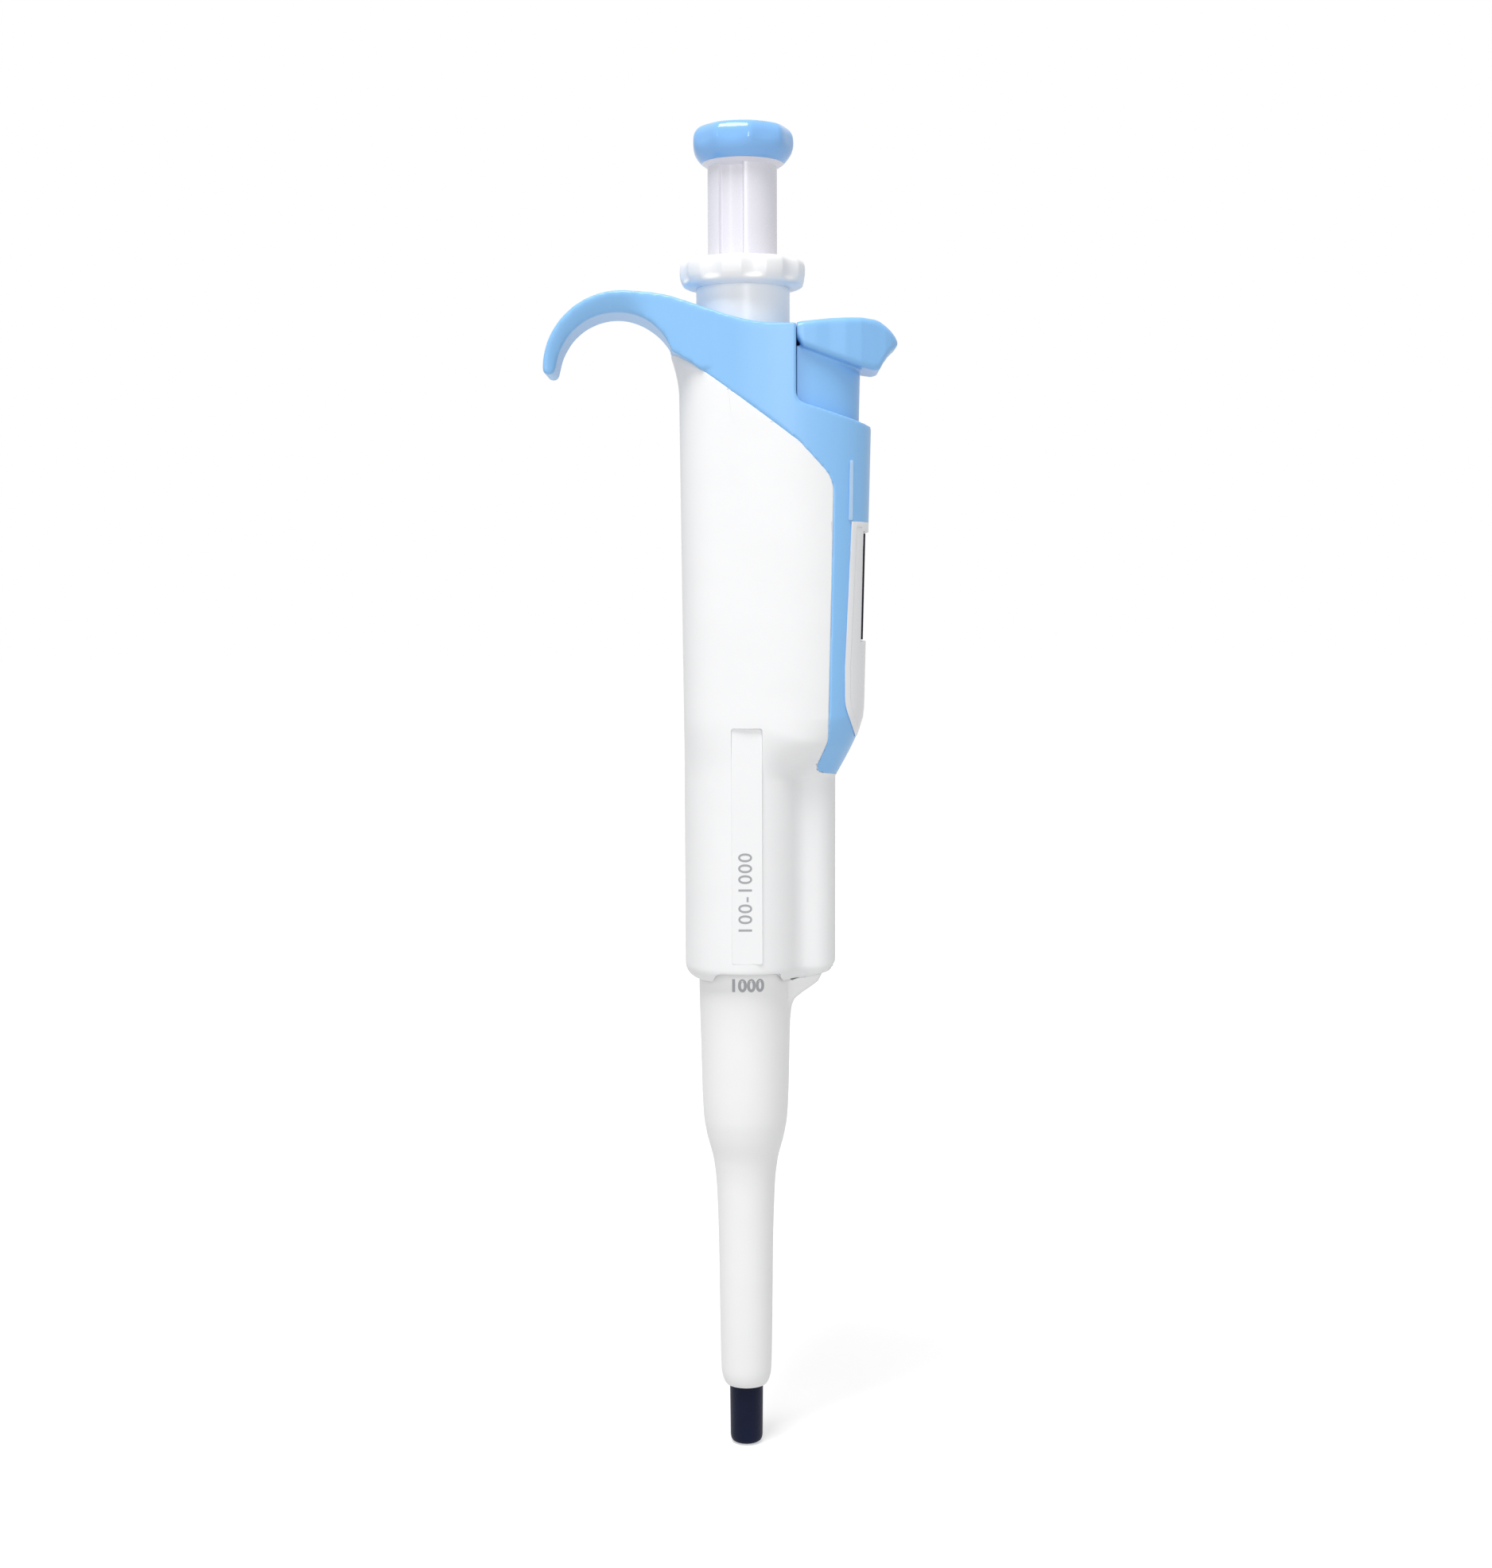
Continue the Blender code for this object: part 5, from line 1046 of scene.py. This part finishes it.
# Inner pieces
# What the mechanism is made of: ground and drawn steel, black acetal, navy housing plastic, rubber and
# a white ceramic piston. Their solids are kept, and each gets its own finish.
def metal(name, colour, roughness, along=(1, 1, 0.05)):
    """Turned or drawn steel, with fine lines left by the tool."""
    material, add, place = surface(name)
    stretch = add("ShaderNodeMapping", [(place, "Vector")], Scale=along)
    lines = add("ShaderNodeTexNoise", [(stretch, "Vector")], Scale=6000.0, Detail=3.0)
    gloss = mapped(add, lines, roughness - 0.08, roughness + 0.08)
    bump = add("ShaderNodeBump", [(lines, "Height")], Strength=0.15, Distance=0.00003)
    coated(add, [((*colour, 1), "Base Color"), (1.0, "Metallic"), (gloss, "Roughness"), (bump, "Normal")])
    return material


turned_steel = metal("turned_steel", (0.56, 0.57, 0.58), 0.28, (0.08, 0.08, 1))
drawn_steel = metal("drawn_steel", (0.58, 0.59, 0.60), 0.24)
black_acetal = moulded_plastic("black_acetal", (0.022, 0.022, 0.024), 0.42, 0.0002, 0.15, 0.2)
black_rubber = moulded_plastic("black_rubber", (0.014, 0.014, 0.014), 0.68, 0.00015, 0.3, 0.3)
ceramic = moulded_plastic("piston_ceramic", (0.76, 0.745, 0.70), 0.14, 0.0005, 0.03, 0.02)
finishes = {
    turned_steel: ("spring_seat", "screw_sleeve", "sleeve_clip", "stop_nut", "stop_collar",
                   "blow_out_washer", "ejector_collar"),
    drawn_steel: ("plunger_rod", "ejector_rod", "counter_shaft"),
    black_acetal: ("seal_holder", "nut_guide", "counter_bracket", "bearing_plate", "dial_gear",
                   "counter_gear"),
    housing_navy: ("coupling_nut", "piston_head"),
    black_rubber: ("piston_seal", "dial_o_ring"),
    ceramic: ("piston",),
}
for finish, names in finishes.items():
    for name in names:
        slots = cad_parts[name].data.materials
        slots.clear()
        slots.append(finish)


# Counter drums
# Four white acetal drums on one shaft, ten dark figures hot-stamped round each. The units drum is
# numbered 0 and 5 in turn. At rest they read 1, 0, 0, 0 from the top down.
def tree_of(name, inputs):
    """A new Geometry Nodes tree with named inputs, its builder and those inputs' sockets."""
    tree = bpy.data.node_groups.new(name, "GeometryNodeTree")
    tree.interface.new_socket("Geometry", in_out="INPUT", socket_type="NodeSocketGeometry")
    tree.interface.new_socket("Geometry", in_out="OUTPUT", socket_type="NodeSocketGeometry")
    for label, kind in inputs:
        tree.interface.new_socket(label, in_out="INPUT", socket_type="NodeSocket" + kind)
    add = builder(tree)
    return tree, add, add("NodeGroupInput").outputs


def grown(piece, tree, **values):
    """Run a tree on a piece with its inputs set, and keep the result as a plain mesh."""
    modifier = piece.modifiers.new(tree.name, "NODES")
    modifier.node_group = tree
    for item in tree.interface.items_tree:
        if item.item_type == "SOCKET" and item.in_out == "INPUT" and item.name in values:
            modifier[item.identifier] = values[item.name]
    settle(piece)


drum_white = moulded_plastic("drum_white", (0.93, 0.93, 0.92), 0.40, 0.0002, 0.06)
figure_ink = moulded_plastic("figure_ink", (0.012, 0.012, 0.014), 0.45, 0.0001, 0.05, 0.2)
stamp, add, given = tree_of("stamped_drum", [
    ("Figures", "String"), ("Size", "Float"), ("Radius", "Float"), ("Axis", "Vector"), ("First", "Float")])
words = add("GeometryNodeStringToCurves", [(given["Figures"], "String"), (given["Size"], "Size")],
            pivot_mode="MIDPOINT")
filled = add("GeometryNodeFillCurve", [(words, "Curve")])
under = add("GeometryNodeFlipFaces", [(filled, "Mesh")])
sunk = add("GeometryNodeExtrudeMesh", [(under, "Mesh"), (0.00012, "Offset Scale")])
figure = add("GeometryNodeJoinGeometry", [(filled, 0), (sunk, 0)])
figure = add("GeometryNodeMergeByDistance", [(figure, "Geometry"), (0.000002, "Distance")])
home = add("GeometryNodeSetPosition", [(figure, "Geometry"), (add("FunctionNodeInputVector"), "Position")])
turn = worked(add, "MULTIPLY", add("GeometryNodeInputIndex"), math.radians(36))
turn = worked(add, "ADD", turn, given["First"])
stand = add("ShaderNodeCombineXYZ", [(math.radians(90), "X"), (turn, "Z")])
facing = add("GeometryNodeRotateInstances", [(home, "Instances"), (stand, "Rotation")])
reach = worked(add, "ADD", given["Radius"], 0.00002)
out = add("ShaderNodeCombineXYZ", [(-0.0007, "X"), (-0.0013, "Y"), (reach, "Z")])
placed = add("GeometryNodeTranslateInstances", [
    (facing, "Instances"), (out, "Translation"), (True, "Local Space")])
moved = add("GeometryNodeTranslateInstances", [
    (placed, "Instances"), (given["Axis"], "Translation"), (False, "Local Space")])
real = add("GeometryNodeRealizeInstances", [(moved, "Geometry")])
inked = add("GeometryNodeSetMaterial", [(real, "Geometry")], Material=figure_ink)
plain = add("GeometryNodeSetMaterial", [(given["Geometry"], "Geometry")], Material=drum_white)
add("NodeGroupOutput", [(add("GeometryNodeJoinGeometry", [(plain, 0), (inked, 0)]), 0)])

drum_axis = 0.01275
drum_radius = 0.0050
floor_radius = drum_radius - 0.0008
for name, figures, first in (("thousands", "0123456789", -36), ("hundreds", "0123456789", 0),
                             ("tens", "0123456789", 0), ("units", "0505050505", 0)):
    node = "number_wheel_" + name
    low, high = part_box(node)
    floor_z = high.z - 0.0013
    drum = turned("drum_" + name, [
        (0.0015, low.z), (drum_radius - 0.0002, low.z), (drum_radius, low.z + 0.0002),
        (drum_radius, high.z - 0.0002), (drum_radius - 0.0002, high.z), (floor_radius, high.z),
        (floor_radius, floor_z), (0.0023, floor_z), (0.0023, high.z), (0.0015, high.z), (0.0015, low.z)],
        72, drum_axis)
    shade_round(drum, 35)
    grown(drum, stamp, Figures=figures, Size=0.0036, Radius=drum_radius,
          Axis=(drum_axis, 0, (low.z + high.z) / 2), First=math.radians(90 + first))
    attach(drum, "counter_drive" if name == "units" else name)
    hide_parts(node)


# Springs
# Three compression springs of drawn spring steel, their end turns closed flat: the plunger's return
# spring, the stiffer blow-out spring round it, and the ejector's spring on its rod.
coil, add, given = tree_of("compression_spring", [(name, "Float") for name in (
    "Turns", "Radius", "Wire", "Bottom", "Top", "Across")])


def plus(a, b):
    return worked(add, "ADD", a, b)


def minus(a, b):
    return worked(add, "SUBTRACT", a, b)


def times(a, b):
    return worked(add, "MULTIPLY", a, b)


def ramp(share, start, end):
    """0 to 1 as a share goes from start to end, and level outside."""
    return add("ShaderNodeMapRange", [(share, 0), (start, "From Min"), (end, "From Max")])


line = add("GeometryNodeResampleCurve", [(add("GeometryNodeCurvePrimitiveLine"), "Curve"), (360, "Count")])
share = add("GeometryNodeSplineParameter").outputs["Factor"]
closed_rise = 2.1
dead = worked(add, "DIVIDE", 1.0, given["Turns"])
rise = ramp(share, times(dead, 0.75), minus(1.0, times(dead, 0.75)))
closed = plus(ramp(share, 0.0, dead), ramp(share, minus(1.0, dead), 1.0))
span = minus(minus(given["Top"], given["Bottom"]), times(given["Wire"], 2 + 2 * closed_rise))
height = plus(times(span, rise), times(times(given["Wire"], closed_rise), closed))
height = plus(height, plus(given["Bottom"], given["Wire"]))
angle = times(times(share, given["Turns"]), math.tau)
spot = add("ShaderNodeCombineXYZ", [
    (plus(times(worked(add, "COSINE", angle), given["Radius"]), given["Across"]), "X"),
    (times(worked(add, "SINE", angle), given["Radius"]), "Y"), (height, "Z")])
wound = add("GeometryNodeSetPosition", [(line, "Geometry"), (spot, "Position")])
circle = add("GeometryNodeCurvePrimitiveCircle", [(12, "Resolution"), (given["Wire"], "Radius")])
wire = add("GeometryNodeCurveToMesh", [(wound, "Curve"), (circle, "Profile Curve"), (True, "Fill Caps")])
smooth = add("GeometryNodeSetShadeSmooth", [(wire, 0)])
real = add("GeometryNodeRealizeInstances", [(smooth, "Geometry")])
steel = metal("spring_steel", (0.50, 0.51, 0.53), 0.26)
add("NodeGroupOutput", [(add("GeometryNodeSetMaterial", [(real, "Geometry")], Material=steel), 0)])

for node, turns, radius, thick, across, joint, travel in (
        ("primary_spring", 7, 0.0059, 0.00045, 0.0, "plunger", 0.0156),
        ("blow_out_spring", 4, 0.0080, 0.0006, 0.0, "plunger", 0.0026),
        ("ejector_spring", 8, 0.0018, 0.0003, rod_x, "ejector", 0.0080)):
    low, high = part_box(node)
    spring = new_object(node.replace("_spring", "_coil"), bpy.data.meshes.new(node))
    grown(spring, coil, Turns=turns, Radius=radius, Wire=thick, Bottom=low.z, Top=high.z, Across=across)
    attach(spring, "pipette_body")
    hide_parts(node)
    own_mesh(spring)
